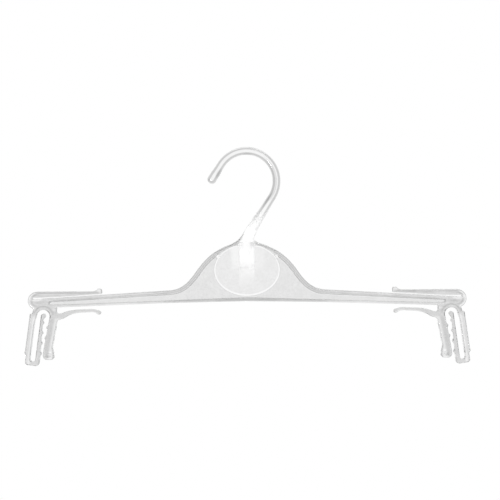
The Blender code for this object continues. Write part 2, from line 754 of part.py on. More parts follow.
def finger_outline():
    """The finger springs up from its root, runs just under the arm and curls down to a bulb."""
    x, z = FINGER_PIVOT
    crest = (x - FINGER_CREST, z + FINGER_RISE)
    bulb = (x - FINGER_LENGTH, z + FINGER_TIP_RISE)
    curl = (FINGER_LENGTH - FINGER_CREST) * 0.4
    rise = FINGER_CREST * 0.4
    line = curve_between(bulb, -FINGER_CURL, crest, FINGER_LEVEL, (curl, curl), 5)
    widths = [FINGER_THICKNESS] * len(line)
    climb = curve_between(crest, FINGER_LEVEL, FINGER_PIVOT, FINGER_ROOT_SLOPE, (rise, rise), 10)[1:]
    for i in range(len(climb)):
        share = (i + 1) / len(climb)
        widths.append(FINGER_THICKNESS + (FINGER_ROOT_THICKNESS - FINGER_THICKNESS) * share**3)
    upper, lower = strip(line + climb, widths)
    turn = pi / 2 - FINGER_ROOT_SLOPE
    nose = arc(FINGER_PIVOT, FINGER_NOSE, turn, turn - pi)
    tip = arc(bulb, FINGER_BULB_RADIUS, FINGER_CURL - pi / 2, FINGER_CURL - 3 * pi / 2, 10)
    return upper[1:-1] + nose + lower[-2:0:-1] + tip


def make_finger(model, name, side):
    finger = flat_piece(
        f"strap_finger_{name}",
        end_outline(side, finger_outline()),
        FLEXING_DEPTH,
        end_point(side, *FINGER_PIVOT),
    )
    soften(finger)
    model.add(finger, FLEXING_TINT)


def build():
    clear_scene()
    model = Model()
    make_hook(model)
    make_plate(model)
    make_panel(model)
    for name, side in SIDES.items():
        make_arm(model, name, side)
        make_end_loop(model, name, side)
        make_jaw(model, name, side)
        make_leg(model, name, side)
        make_spring(model, name, side)
        make_tongue(model, name, side)
        make_finger(model, name, side)
    bpy.context.view_layer.update()


build()
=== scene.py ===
"""Visual model of a clear moulded hanger for delicates.

The hanger is one moulding, so it is built as one closed skin: a flat frame with rounded edges, web pockets
on both faces, a raised oval panel and a round bar from the hook's tip down into a fading spine. The skin is
then divided into the named pieces. Each is an open shell that meets its neighbours edge to edge, so no wall
stands inside the clear plastic.

Units are metres, in the frame of the solids: +X to the viewer's right, +Y away from the viewer and +Z up.
"""

from math import atan2, cos, dist, hypot, pi, radians, sin, tan

import bmesh
import bpy
import numpy as np
from mathutils import Matrix, Vector
from mathutils.geometry import interpolate_bezier


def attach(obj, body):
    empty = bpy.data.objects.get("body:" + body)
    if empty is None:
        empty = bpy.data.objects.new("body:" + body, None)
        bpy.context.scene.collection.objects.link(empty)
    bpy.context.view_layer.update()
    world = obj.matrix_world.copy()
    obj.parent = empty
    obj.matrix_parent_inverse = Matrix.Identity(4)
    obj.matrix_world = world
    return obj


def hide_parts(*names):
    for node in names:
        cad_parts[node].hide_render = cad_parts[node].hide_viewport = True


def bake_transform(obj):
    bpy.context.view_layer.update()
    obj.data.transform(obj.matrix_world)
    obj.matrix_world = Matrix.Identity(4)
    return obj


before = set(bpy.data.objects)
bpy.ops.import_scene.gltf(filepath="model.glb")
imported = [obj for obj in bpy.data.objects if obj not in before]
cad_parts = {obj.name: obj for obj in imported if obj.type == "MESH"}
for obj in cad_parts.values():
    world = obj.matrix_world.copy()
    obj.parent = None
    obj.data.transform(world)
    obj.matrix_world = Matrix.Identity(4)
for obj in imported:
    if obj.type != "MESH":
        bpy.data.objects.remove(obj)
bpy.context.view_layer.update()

# Sections
FRAME_DEPTH = 0.0064
FLEXING_DEPTH = 0.0058
WEB_THICKNESS = 0.0015
TOP_RIB = 0.0027
NECK_RIB = 0.0016
RIB_CHANGE = (0.0185, 0.0235)
CROWN_RISE = 0.0019
CROWN_HALF_WIDTH = 0.0052
LOWER_RIB_CENTRE = 0.0024
LOWER_RIB_ARM = 0.0017
TOP_ROUND = 0.0013
LOW_ROUND_CENTRE = 0.0006
LOW_ROUND_ARM = 0.0005
TONGUE_ROUND = 0.0008
LOOP_ROUND = 0.0012
CLIP_ROUND = 0.0005
FOOT_ROUND = 0.0009
FINGER_ROUND = 0.0007
MEMBER_ROUND = 0.0004
ROUND_SPREAD = 0.0008
ROUND_STEPS = 7
DRAFT = 0.00012
OUTLINE_INSET = 0.00003
CORNER_ROUND = 0.0007
LEAST_CORNER = radians(24)
RIM_ROUND = 0.0005
RIM_END = radians(66)
FLOOR_ROUND = 0.0003
UPPER_FLOOR_ROUND = 0.0009

# Hook
HOOK_INNER_RADIUS = 0.0175
HOOK_DIAMETER = 0.0055
HOOK_INSET = 0.0001
HOOK_TIP_RUN = 0.0114
TIP_RADIUS = 0.00305
TIP_SWELL = (0.0015, 0.0085)
SHANK_SLOPE = radians(57.55)
SHANK_BASE_DIAMETER = 0.0072
NECK_LENGTH = 0.0071
NECK_SCOOP_RADIUS = 0.02
NECK_SCOOP_RUN = 0.009
NECK_BEND_REACH = 0.0042
BAR_SIDES = 32

# Centre plate, heights measured up from its lower edge at the middle
NECK_HEIGHT = 0.0432
NECK_CORNER_OUT = 0.0044
NECK_CORNER_DROP = 0.0018
SHOULDER_START_OUT = 0.0081
SHOULDER_START_DROP = 0.0039
SHOULDER_START_SLOPE = radians(16)
NECK_FILLET_OUT = 0.0115
SHOULDER_MID_OUT = 0.0337
SHOULDER_MID_HEIGHT = 0.0211
SHOULDER_MID_SLOPE = radians(55)
PLATE_HALF_WIDTH = 0.052
PLATE_DROOP = 0.0009

# Oval panel
OVAL_HALF_WIDTH = 0.0223
OVAL_HALF_HEIGHT = 0.0176
OVAL_HEIGHT = 0.021
PANEL_THICKNESS = 0.0023
PANEL_LEDGE = 0.0003
OVAL_RIM = (0.0013, 0.0008)
OVAL_STEP = 0.00015
PAD_ROOT = 0.0001
SPINE_HALF_WIDTH = 0.0037
SPINE_TOP_DEPTH = 0.00325
SPINE_LENGTH = 0.0127
SPINE_END_DEPTH = 0.00112
SPINE_RINGS = 14
MARK_PLACE = (0.0182, -0.0932)
MARK_RADIUS = 0.0017
MARK_RISE = 0.00012

# Arms
ARM_LENGTH = 0.074
ARM_DROP = 0.0025
ARM_ROOT_HEIGHT = 0.0087
ARM_END_HEIGHT = 0.0068

# End loop, reaches measured outward from the arm's end and drops from its lower edge
LOOP_REACH = 0.0153
LOOP_RADIUS = 0.0062
EYE_RADIUS = 0.0005
EYE_WALL = 0.0032
EYE_SLOPE_LENGTH = 0.006
LOOP_NOTCH_INSET = 0.0034
LOOP_NOTCH_DROP = 0.0018
LOOP_POCKET_LENGTH = 0.006

# Strap tongue
TONGUE_THICKNESS = 0.00365
TONGUE_REACH = 0.0283
TONGUE_GAP = 0.00035
TONGUE_GAP_OUTER = 0.0005
KNOB_LENGTH = 0.0033
KNOB_RISE = 0.0018
KNOB_RAMP = 0.0024
KNOB_ROUND = 0.0009
TONGUE_PIVOT_REACH = 0.014

# Clip
ARCH_REACH = 0.0113
ARCH_RADIUS = 0.0044
ARCH_CROWN_DROP = 0.0016
ROOT_DROP = 0.0033
JAW_INSET = 0.0022
JAW_WIDTH = 0.0056
JAW_LEAN = radians(10.8)
JAW_DROP = 0.0353
FOOT_REACH = 0.0116
FOOT_WIDTH = 0.0074
FOOT_HEIGHT = 0.0082
FOOT_OUTER_ROUND = 0.0028
FOOT_INNER_ROUND = 0.0018
SLOT_WIDTH = 0.0036
SLOT_LENGTH = 0.0285
SLOT_OFFSET = 0.0008
SLOT_LEAN = radians(7.8)
LEG_WIDTH = 0.0039
LEG_SHOULDER_DROP = 0.0078
BEND_THICKNESS = 0.0028
BEND_SIDE = 0.003
BEND_ROUND = 0.0022
NUB_HEIGHT = 0.0037
NUB_RISE = 0.0003
SPRING_ROOT_WIDTH = 0.003
SPRING_TIP_WIDTH = 0.0018
SPRING_BULB_RADIUS = 0.0016
SPRING_TOP_GAP = 0.0018
TOOTH_PITCH = 0.007
TOOTH_RISE = 0.0009
TOOTH_BASE = 0.0034
JAW_FIRST_TOOTH = 0.0075
SPRING_FIRST_TOOTH = 0.0039

# Ejector marks, and the places of the painted shade bands that stand in for thicker ribs on the end members
FOOT_MARK_RADIUS = 0.0013
FOOT_MARK_DEPTH = 0.0003
RIM_SHADE_OFFSET = 0.0023
JAW_SHADE_BAND = 0.0034
LEG_SHADE_BAND = 0.0023

# Strap finger, offsets measured from its pivot
FINGER_ROOT_THICKNESS = 0.004
FINGER_THICKNESS = 0.0023
FINGER_LENGTH = 0.0243
FINGER_TIP_RISE = 0.002
FINGER_CURL = radians(28)
FINGER_CREST = 0.0186
FINGER_RISE = 0.0033
FINGER_LEVEL = radians(3)
FINGER_ROOT_SLOPE = radians(28)
FINGER_BULB_RADIUS = 0.0015
FINGER_ROOT_WIDTH = 0.0018
MEMBER_GAP = 0.0003
BEND_RAMP = 0.004

# Painted glow and milky blush round the gate: the heights, and the distances from its middle, that each part
# fades between
BLOOM_TOP = (-0.0495, -0.0491)
BLOOM_FLARE = (-0.0522, -0.0504)
SWEEP_TOP = (-0.0534, -0.0516)
SWEEP_FOOT = (-0.0585, -0.0565)
BLOOM_BEND = (-0.061, -0.058)
PANEL_TOP = (-0.0625, -0.0605)
BLOOM_END = (-0.0701, -0.0697)
BLOOM_EDGE = (0.0038, 0.0041)
CORE_TOP = (-0.044, -0.028)
CORE_EDGE = (0.0035, 0.0062)
STRIP_ROWS = (-0.0915, -0.069)
STRIP_EDGE = (0.0036, 0.0066)
PATCH_ROWS = (-0.083, -0.07)
SPOT_PLACE = (0.0195, -0.0684)
SPOT_EDGE = (0.0009, 0.002)

# Camera, from the photograph's scale, centre and tilt
FRAME_WIDTH = 0.3367
CAMERA_DISTANCE = 0.95
VIEW_CENTRE = (0.0021, -0.064)
VIEW_TILT = 0.0063

# Surround: the window's lift, the rims of the window and of the dim zone, and their levels
WINDOW_LIFT = radians(2.5)
WINDOW_RIM = (0.951, 0.982)
DIM_RIM = (0.58, 0.76)
DIM_LEVEL = 0.65
SIDE_LEVEL = 0.88
FLOOR_LEVEL = -0.3
FLOOR_RADIUS = 0.55
FLOOR_FADE = (0.28, 0.43)
LAMP_TARGET = Vector((0, 0, -0.06))

WELD = 1e-6
LEAST_SIDE = 2e-5


# Plane geometry: points are (x, z)


def smooth_step(value):
    t = min(1.0, max(0.0, value))
    return t * t * (3 - 2 * t)


def change(value, ends, first, last):
    """A soft change from first to last, while a value goes from one end to the other."""
    return first + (last - first) * smooth_step((value - ends[0]) / (ends[1] - ends[0]))


def as_list(value, count):
    return value if isinstance(value, list) else [value] * count


def leaning(origin, lean, along, across):
    """A point measured along a line that rises by an angle through an origin, and square across it."""
    return (
        origin[0] + along * cos(lean) - across * sin(lean),
        origin[1] + along * sin(lean) + across * cos(lean),
    )


def lean_place(origin, lean, x, z):
    """The (along, across) of a point: the inverse of leaning."""
    dx, dz = x - origin[0], z - origin[1]
    return dx * cos(lean) + dz * sin(lean), dz * cos(lean) - dx * sin(lean)


def arc(centre, radius, start, end, steps=16):
    """Points on a circle from one angle to another, in radians from +X towards +Z."""
    turns = [start + (end - start) / steps * i for i in range(steps + 1)]
    return [(centre[0] + radius * cos(t), centre[1] + radius * sin(t)) for t in turns]


def circle(centre, radius, steps=28):
    return arc(centre, radius, 0, 2 * pi, steps)[:-1]


def curve_between(start, start_slope, end, end_slope, reach, steps=24):
    """A smooth curve that leaves start and reaches end at the given downward slopes."""
    first, last = Vector((*start, 0)), Vector((*end, 0))
    out = Vector((cos(start_slope), -sin(start_slope), 0)) * reach[0]
    back = Vector((cos(end_slope), -sin(end_slope), 0)) * reach[1]
    return [(p.x, p.y) for p in interpolate_bezier(first, first + out, last - back, last, steps)]


def run_at(path, i):
    """The way from the point before a path's point to the point after it."""
    before, after = path[max(i - 1, 0)], path[min(i + 1, len(path) - 1)]
    return after[0] - before[0], after[1] - before[1]


def offset_path(path, distances):
    """The path moved to its right-hand side, square to its own run, by one distance or one for each point."""
    moved = []
    for i, ((x, z), distance) in enumerate(zip(path, as_list(distances, len(path)))):
        dx, dz = run_at(path, i)
        length = hypot(dx, dz)
        moved.append((x + dz / length * distance, z - dx / length * distance))
    return moved


def mirrored(points):
    return [(-x, z) for x, z in reversed(points)]


def height_at(path, x):
    """Height of a path that runs towards +X, read at x."""
    for (x0, z0), (x1, z1) in zip(path, path[1:]):
        if x <= x1:
            return z0 + (z1 - z0) * (x - x0) / (x1 - x0)
    return path[-1][1]


def without_repeats(points):
    kept = []
    for p in points:
        if not kept or dist(p, kept[-1]) > LEAST_SIDE:
            kept.append(p)
    if dist(kept[0], kept[-1]) < LEAST_SIDE:
        kept.pop()
    return kept


def corners(points):
    """The points of a closed outline as vectors, each between the one before and the one after it."""
    here = [Vector(p) for p in points]
    return zip(here[-1:] + here[:-1], here, here[1:] + here[:1])


def rounded(points, radius):
    """The closed outline with its sharp corners rounded, by less where the sides are short."""
    points = without_repeats(points)
    made = []
    for point, (before, here, after) in zip(points, corners(points)):
        into, out = here - before, after - here
        turn = into.angle(out)
        if turn < LEAST_CORNER:
            made.append(point)
            continue
        reach = min(radius * tan(turn / 2), 0.45 * into.length, 0.45 * out.length)
        first, last = here - into.normalized() * reach, here + out.normalized() * reach
        steps = max(2, int(turn / radians(15)))
        for t in (k / steps for k in range(steps + 1)):
            q = first * (1 - t) ** 2 + here * 2 * t * (1 - t) + last * t**2
            made.append((q.x, q.y))
    return without_repeats(made)


def drawn_in(points, distances):
    """A clockwise closed outline moved inward by a distance, or by one of its own at each point."""
    made = []
    for (before, here, after), distance in zip(corners(points), as_list(distances, len(points))):
        a, b = (here - before).normalized(), (after - here).normalized()
        inward = Vector((a.y + b.y, -a.x - b.x)).normalized()
        share = max(0.5, inward.dot(Vector((a.y, -a.x))))
        moved = here + inward * (distance / share)
        made.append((moved.x, moved.y))
    return made


def without_folds(points, distances):
    """The distances, made smaller where the outline drawn in by them would fold over itself."""
    for _ in range(40):
        inner = drawn_in(points, distances)
        folded = set()
        for i in range(len(points)):
            side = Vector(points[i]) - Vector(points[i - 1])
            moved = Vector(inner[i]) - Vector(inner[i - 1])
            if moved.dot(side) < 0.08 * side.length_squared:
                folded.update({i - 1, i, (i + 1) % len(points), i - 2})
        if not folded:
            return distances
        for i in folded:
            distances[i] *= 0.85
    return distances


def clockwise(points):
    area = sum(points[i - 1][0] * p[1] - p[0] * points[i - 1][1] for i, p in enumerate(points))
    return points if area < 0 else points[::-1]


def spread_out(outline, values, reach):
    """The values, each the mean of those within a reach along the closed outline."""
    run = np.cumsum([dist(p, outline[i - 1]) for i, p in enumerate(outline)])
    apart = np.abs(run[:, None] - run)
    weights = np.maximum(1 - np.minimum(apart, run[-1] - apart) / reach, 0)
    return (weights @ values / weights.sum(axis=1)).tolist()


# Objects and meshes


def set_all(thing, **settings):
    for name, setting in settings.items():
        setattr(thing, name, setting)


def new_object(name, data, **settings):
    made = bpy.data.objects.new(name, data)
    bpy.context.scene.collection.objects.link(made)
    set_all(made, **settings)
    return made


def mesh_object(name, bm):
    bmesh.ops.recalc_face_normals(bm, faces=bm.faces)
    mesh = bpy.data.meshes.new(name)
    bm.to_mesh(mesh)
    bm.free()
    return new_object(name, mesh)


def stacked(name, rings, sides, ends):
    """A closed body from outlines of equal length, each with one y or a y for each point. sides is the kind of
    the faces between them, or a kind for each gap, and ends is the kind of the end faces."""
    bm = bmesh.new()
    loops = []
    for outline, y in rings:
        levels = as_list(y, len(outline))
        loops.append([bm.verts.new((x, level, z)) for (x, z), level in zip(outline, levels)])
    for a, b, kind in zip(loops, loops[1:], as_list(sides, len(rings) - 1)):
        for i in range(len(a)):
            bm.faces.new((a[i - 1], a[i], b[i], b[i - 1])).material_index = kind
    for loop in (loops[0], loops[-1]):
        bm.faces.new(loop).material_index = ends
    return mesh_object(name, bm)


def evaluated(thing):
    """A new mesh of an object with its modifiers applied."""
    bpy.context.view_layer.update()
    graph = bpy.context.evaluated_depsgraph_get()
    return bpy.data.meshes.new_from_object(thing.evaluated_get(graph))


def add_materials(mesh, materials):
    for material in materials:
        mesh.materials.append(material)


# Places that follow from the sizes


BOW_RADIUS = HOOK_INNER_RADIUS + HOOK_DIAMETER / 2
BOW_CENTRE = (0, -HOOK_INNER_RADIUS)
SHANK_TOP = leaning(BOW_CENTRE, SHANK_SLOPE, 0, -BOW_RADIUS)
NECK_POINT = (0, SHANK_TOP[1] - SHANK_TOP[0] * tan(SHANK_SLOPE))
NECK_PLANE = leaning(NECK_POINT, SHANK_SLOPE, NECK_LENGTH, 0)
BASE = NECK_POINT[1] - NECK_HEIGHT
PLATE_END_BOTTOM = BASE - PLATE_DROOP
PLATE_END_TOP = PLATE_END_BOTTOM + ARM_ROOT_HEIGHT
ARM_END_X = PLATE_HALF_WIDTH + ARM_LENGTH
ARM_END_BOTTOM = PLATE_END_BOTTOM - ARM_DROP
ARM_END_TOP = ARM_END_BOTTOM + ARM_END_HEIGHT
ARM_TOP_SLOPE = atan2(PLATE_END_TOP - ARM_END_TOP, ARM_LENGTH)
TOP_FALL = tan(ARM_TOP_SLOPE)

# Points of the ends, measured outward from the arm's end and up from its lower edge
UNDER_ARM = -0.0006
TONGUE_TOP = ARM_END_HEIGHT + TONGUE_GAP + TONGUE_THICKNESS
LOOP_CENTRE = (LOOP_REACH, TONGUE_TOP - LOOP_RADIUS)
EYE_CENTRE_REACH = LOOP_REACH + LOOP_RADIUS - EYE_WALL - EYE_RADIUS
EYE_START = EYE_CENTRE_REACH - EYE_SLOPE_LENGTH
TONGUE_OUTER_BOTTOM = ARM_END_HEIGHT - TOP_FALL * EYE_START + TONGUE_GAP_OUTER
EYE_CENTRE = (EYE_CENTRE_REACH, TONGUE_OUTER_BOTTOM - EYE_RADIUS)
ARCH_CENTRE = (ARCH_REACH, -ARCH_CROWN_DROP - ARCH_RADIUS)
ARCH_TOP = ARCH_CENTRE[1] + ARCH_RADIUS
JAW_FACE_TOP = (ARCH_REACH - ARCH_RADIUS, ARCH_CENTRE[1])
TOOTH_REACH = TOOTH_RISE * 1.3
FINGER_NOSE = FINGER_ROOT_THICKNESS / 2
BOSS_REACH = JAW_INSET - FINGER_ROOT_WIDTH
ROOT_LEVEL = -ROOT_DROP - MEMBER_GAP
FINGER_PIVOT = (BOSS_REACH - MEMBER_GAP - FINGER_NOSE, ROOT_LEVEL - FINGER_NOSE)
FOOT_CENTRE = (FOOT_REACH - FOOT_WIDTH / 2, -JAW_DROP + FOOT_HEIGHT * 0.38)
SLOT_HALF = SLOT_WIDTH / 2
SLOT_TOP = (ARCH_REACH + ARCH_RADIUS + SLOT_OFFSET, ARCH_CENTRE[1])
SLOT_BOTTOM = leaning(SLOT_TOP, SLOT_LEAN, -SLOT_HALF, -SLOT_LENGTH)
SPRING_NOSE = SPRING_ROOT_WIDTH / 2
SPRING_ROOT_UP = SPRING_NOSE / 2

# Painted highlights and painted shade in spots on the ends, as (centre, half sizes, shares where the fade
# starts and ends, amount)
PAINTED_LIGHT_SHADE_SPOTS = (
    ((EYE_CENTRE[0] - 0.0015, EYE_CENTRE[1] - 0.0004), (0.0055, 0.0018), 0.6, 1.05, 0.16),
    ((KNOB_LENGTH / 2 - TONGUE_REACH, TONGUE_TOP + KNOB_RISE / 3), (0.002, 0.002), 0.2, 1.2, 0.13),
    ((FOOT_CENTRE[0] + 0.0004, FOOT_CENTRE[1] - 0.0008), (0.0018, 0.0012), 0.2, 1.1, -0.16),
    ((FOOT_CENTRE[0] - 0.001, FOOT_CENTRE[1] + 0.0018), (0.0013, 0.0011), 0.3, 1.0, 0.16),
    ((JAW_INSET + 0.0012, -ROOT_DROP * 0.5), (0.0026, 0.0014), 0.2, 1.1, 0.1),
    ((EYE_CENTRE[0] - 0.004, ARM_END_HEIGHT * 0.45), (0.0042, 0.0009), 0.2, 1.1, -0.1),
)

# Painted shade spots on the hook, laid out as on the ends but placed by (x, z), with the angle that the long
# side leans at after the centre
HOOK_SHADE_SPOTS = (
    ((0.0005, 0.0004), 0.0, (0.0036, 0.0008), 0.4, 1.1, -0.34),
    ((0.004, 0.0046), -0.2, (0.0038, 0.0009), 0.3, 1.1, -0.2),
    ((0.0135, -0.0318), SHANK_SLOPE, (0.009, 0.0009), 0.5, 1.1, -0.36),
    ((-0.0188, -0.0126), SHANK_SLOPE, (0.0044, 0.0013), 0.4, 1.1, -0.34),
    ((-0.0257, -0.0172), SHANK_SLOPE, (0.0018, 0.0009), 0.5, 1.1, -0.34),
)


def at_end(reach, height):
    """The (x, z) of a point of the right-hand end."""
    return ARM_END_X + reach, ARM_END_BOTTOM + height


def end_place(x, z):
    """The (reach, height) of a point of either end: the inverse of at_end."""
    return abs(x) - ARM_END_X, z - ARM_END_BOTTOM


def jaw_point(in_from_face, down):
    """A point of the jaw, measured in from its toothed face and down along it."""
    return leaning(JAW_FACE_TOP, JAW_LEAN, -in_from_face, -down)


def jaw_depth(reach, height):
    """How far in from the jaw's toothed face an end point lies."""
    return 0 - lean_place(JAW_FACE_TOP, JAW_LEAN, reach, height)[0]


def jaw_down_to(in_from_face, drop):
    """How far down the jaw a line along it reaches a drop below the arm's lower edge."""
    return (JAW_FACE_TOP[1] - in_from_face * sin(JAW_LEAN) + drop) / cos(JAW_LEAN)


def clip_point(across, up):
    """A point of the hairpin, measured outward and up from the centre of the slot's round bottom."""
    return leaning(SLOT_BOTTOM, SLOT_LEAN, across, up)


def clip_place(reach, height):
    """The (across, up) of an end point: the inverse of clip_point."""
    return lean_place(SLOT_BOTTOM, SLOT_LEAN, reach, height)


# Outline of the flat frame


def shoulder():
    """The plate's right shoulder, from beside the neck out to the arm."""
    start = (SHOULDER_START_OUT, NECK_POINT[1] - SHOULDER_START_DROP)
    middle = (SHOULDER_MID_OUT, BASE + SHOULDER_MID_HEIGHT)
    end = (PLATE_HALF_WIDTH, PLATE_END_TOP)
    upper, lower = dist(start, middle), dist(middle, end)
    reach = (upper * 0.42, upper * 0.33)
    high = curve_between(start, SHOULDER_START_SLOPE, middle, SHOULDER_MID_SLOPE, reach)
    reach = (lower * 0.38, lower * 0.38)
    low = curve_between(middle, SHOULDER_MID_SLOPE, end, ARM_TOP_SLOPE, reach)
    return high + low[1:]


def teeth(first, count, steps=10):
    """Rounded teeth along an edge, as (offset, distance) pairs in order of distance."""
    points = []
    for i in range(count):
        middle = first + TOOTH_PITCH * i
        for share in (k / steps - 0.5 for k in range(steps + 1)):
            points.append((TOOTH_RISE * cos(pi * share) ** 1.5, middle + TOOTH_BASE * share))
    return points


def tongue_path():
    """From the arm's end along the slit to its eye, back under the tongue and round the knob to the loop."""
    tip = -TONGUE_REACH
    knob_centre = TONGUE_TOP + KNOB_RISE - KNOB_ROUND
    slit = [(0, ARM_END_HEIGHT), (EYE_START, ARM_END_HEIGHT - TOP_FALL * EYE_START)]
    under = [
        (TONGUE_PIVOT_REACH, TONGUE_OUTER_BOTTOM),
        (0, ARM_END_HEIGHT + TONGUE_GAP),
        (tip, ARM_END_HEIGHT + TOP_FALL * TONGUE_REACH + TONGUE_GAP),
    ]
    knob = [
        *arc((tip + KNOB_ROUND, knob_centre), KNOB_ROUND, pi, pi / 2, 6),
        *arc((tip + KNOB_LENGTH - KNOB_ROUND, knob_centre), KNOB_ROUND, pi / 2, 0, 6),
        (tip + KNOB_LENGTH + KNOB_RAMP, TONGUE_TOP),
    ]
    return slit + arc(EYE_CENTRE, EYE_RADIUS, -pi / 2, pi / 2) + under + knob


def hairpin_path():
    """Down the outer leg, round the bend, up the toothed spring, round its bulb and down into the slot."""
    leg_side = SLOT_HALF + LEG_WIDTH
    outer_left, outer_right = -SLOT_HALF - SPRING_ROOT_WIDTH, SLOT_HALF + BEND_SIDE
    bottom = -SLOT_HALF - BEND_THICKNESS
    step = NUB_RISE * 2
    shoulder_up = SLOT_LENGTH + (SLOT_TOP[1] + LEG_SHOULDER_DROP) / cos(SLOT_LEAN)
    leg = [
        (leg_side, shoulder_up - LEG_WIDTH * sin(SLOT_LEAN)),
        (leg_side, NUB_HEIGHT + 2 * step),
        (leg_side + NUB_RISE, NUB_HEIGHT + step / 2),
        (leg_side + NUB_RISE, NUB_HEIGHT - step / 2),
        (outer_right, NUB_HEIGHT / 2),
    ]
    bend = arc((outer_right - BEND_ROUND, bottom + BEND_ROUND), BEND_ROUND, 0, -pi / 2)
    bend += arc((outer_left + BEND_ROUND, bottom + BEND_ROUND), BEND_ROUND, -pi / 2, -pi)
    bulb_up = (ARCH_TOP - SPRING_TOP_GAP - SPRING_BULB_RADIUS - SLOT_BOTTOM[1]) / cos(SLOT_LEAN)
    bulb_up -= SPRING_NOSE * sin(SLOT_LEAN)
    neck_up = bulb_up - 2 * SPRING_BULB_RADIUS
    taper = (SPRING_ROOT_WIDTH - SPRING_TIP_WIDTH) / (neck_up - SPRING_ROOT_UP)
    count = int((neck_up - SPRING_FIRST_TOOTH) / TOOTH_PITCH) + 1
    pairs = teeth(SPRING_FIRST_TOOTH, count)
    toothed = [(outer_left + taper * (up - SPRING_ROOT_UP) - rise, up) for rise, up in pairs]
    head = arc((-SLOT_HALF - SPRING_BULB_RADIUS, bulb_up), SPRING_BULB_RADIUS, pi * 1.15, 0, 24)
    slot = arc((0, 0), SLOT_HALF, pi, 2 * pi, 20) + [(SLOT_HALF, SLOT_LENGTH - ARCH_RADIUS)]
    return [clip_point(*p) for p in leg + bend + toothed + head + slot]


def jaw_path():
    """Down the toothed face of the jaw, round its foot and up its inboard side to the finger."""
    foot_top = JAW_DROP - FOOT_HEIGHT
    face_end = jaw_down_to(0, foot_top)
    count = int((face_end - TOOTH_BASE / 2 - JAW_FIRST_TOOTH) / TOOTH_PITCH) + 1
    face = [jaw_point(-rise, down) for rise, down in teeth(JAW_FIRST_TOOTH, count)]
    outer, inner = FOOT_REACH, FOOT_REACH - FOOT_WIDTH
    big, small = FOOT_OUTER_ROUND, FOOT_INNER_ROUND
    upper = FOOT_HEIGHT * 0.55 - JAW_DROP
    foot = (
        [jaw_point(0, face_end), (outer, upper)]
        + arc((outer - big, -JAW_DROP + big), big, 0, -pi / 2, 12)
        + arc((inner + small, -JAW_DROP + small), small, -pi / 2, -pi, 10)
        + [(inner, upper), jaw_point(JAW_WIDTH, jaw_down_to(JAW_WIDTH, foot_top))]
    )
    boss_bottom = FINGER_PIVOT[1] - FINGER_NOSE - MEMBER_GAP
    heel = jaw_point(JAW_WIDTH, jaw_down_to(JAW_WIDTH, FINGER_ROOT_WIDTH / 2 - boss_bottom))
    return face + foot + [heel]


def finger_path():
    """Out along the underside of the finger, round its bulb, and back along the top to the arm."""
    x, z = FINGER_PIVOT
    crest = (x - FINGER_CREST, z + FINGER_RISE)
    bulb = (x - FINGER_LENGTH, z + FINGER_TIP_RISE)
    curl, rise = (FINGER_LENGTH - FINGER_CREST) * 0.4, FINGER_CREST * 0.4
    line = curve_between(bulb, -FINGER_CURL, crest, FINGER_LEVEL, (curl, curl), 10)
    climb = curve_between(crest, FINGER_LEVEL, FINGER_PIVOT, FINGER_ROOT_SLOPE, (rise, rise))[1:]
    growth = FINGER_ROOT_THICKNESS - FINGER_THICKNESS
    widths = [FINGER_THICKNESS] * len(line)
    widths += [FINGER_THICKNESS + growth * ((i + 1) / len(climb)) ** 3 for i in range(len(climb))]
    upper = offset_path(line + climb, [-w / 2 for w in widths])
    lower = offset_path(line + climb, [w / 2 for w in widths])
    tip = arc(bulb, FINGER_BULB_RADIUS, FINGER_CURL - pi / 2, FINGER_CURL - 3 * pi / 2, 24)
    crook = [(JAW_INSET * 0.55, FINGER_PIVOT[1] + FINGER_NOSE * 0.72), (JAW_INSET, ROOT_LEVEL)]
    return lower[:2:-1] + tip + upper[3:] + crook


def end_path():
    """The right-hand end, from the arm's upper edge round to its lower edge, as (reach, height) points."""
    notch = (LOOP_REACH + LOOP_RADIUS - LOOP_NOTCH_INSET, -LOOP_NOTCH_DROP)
    notch_angle = atan2(notch[1] - LOOP_CENTRE[1], notch[0] - LOOP_CENTRE[0])
    outer = arc(LOOP_CENTRE, LOOP_RADIUS, pi / 2, notch_angle, 32)
    leg_top = (notch[0] + LOOP_NOTCH_INSET / 8, ROOT_LEVEL)
    arch = arc(ARCH_CENTRE, ARCH_RADIUS, radians(10), pi, 28)
    arm_corner = [(JAW_INSET, -ROOT_DROP / 8), (JAW_INSET * 0.8, 0), (0, 0)]
    clip = hairpin_path() + arch + jaw_path() + finger_path()
    return tongue_path() + outer + [notch, leg_top] + clip + arm_corner


def frame_outline():
    """The outline of the flat frame, clockwise from the right of the neck."""
    ends = [at_end(*p) for p in end_path()]
    right = shoulder() + ends + [(PLATE_HALF_WIDTH, PLATE_END_BOTTOM), (0, BASE)]
    left = mirrored([p for p in shoulder() if p[0] > NECK_FILLET_OUT])
    half = SHANK_BASE_DIAMETER / 2
    neck_right, neck_left = (leaning(NECK_PLANE, SHANK_SLOPE, 0, across) for across in (-half, half))
    corner = (NECK_CORNER_OUT, NECK_POINT[1] - NECK_CORNER_DROP)
    slope = -atan2(left[-1][1] - left[-2][1], left[-1][0] - left[-2][0])
    reach = dist(neck_left, left[-1]) * 0.5
    sweep = curve_between(left[-1], slope, neck_left, -SHANK_SLOPE, (reach, reach), 18)
    mirrored_ends = mirrored(ends + [(PLATE_HALF_WIDTH, PLATE_END_BOTTOM)])
    return [neck_right, corner] + right + mirrored_ends + left + sweep[1:]


def pocket_top():
    """The inner edge of the right-hand rib, which is narrower beside the neck, from the middle outward."""
    edge = shoulder()
    inner = offset_path(edge, [change(x, RIB_CHANGE, NECK_RIB, TOP_RIB) for x, _ in edge])
    crown = inner[0][1] + CROWN_RISE
    return [(0, crown), (CROWN_HALF_WIDTH, crown)] + [p for p in inner if p[0] < PLATE_HALF_WIDTH]


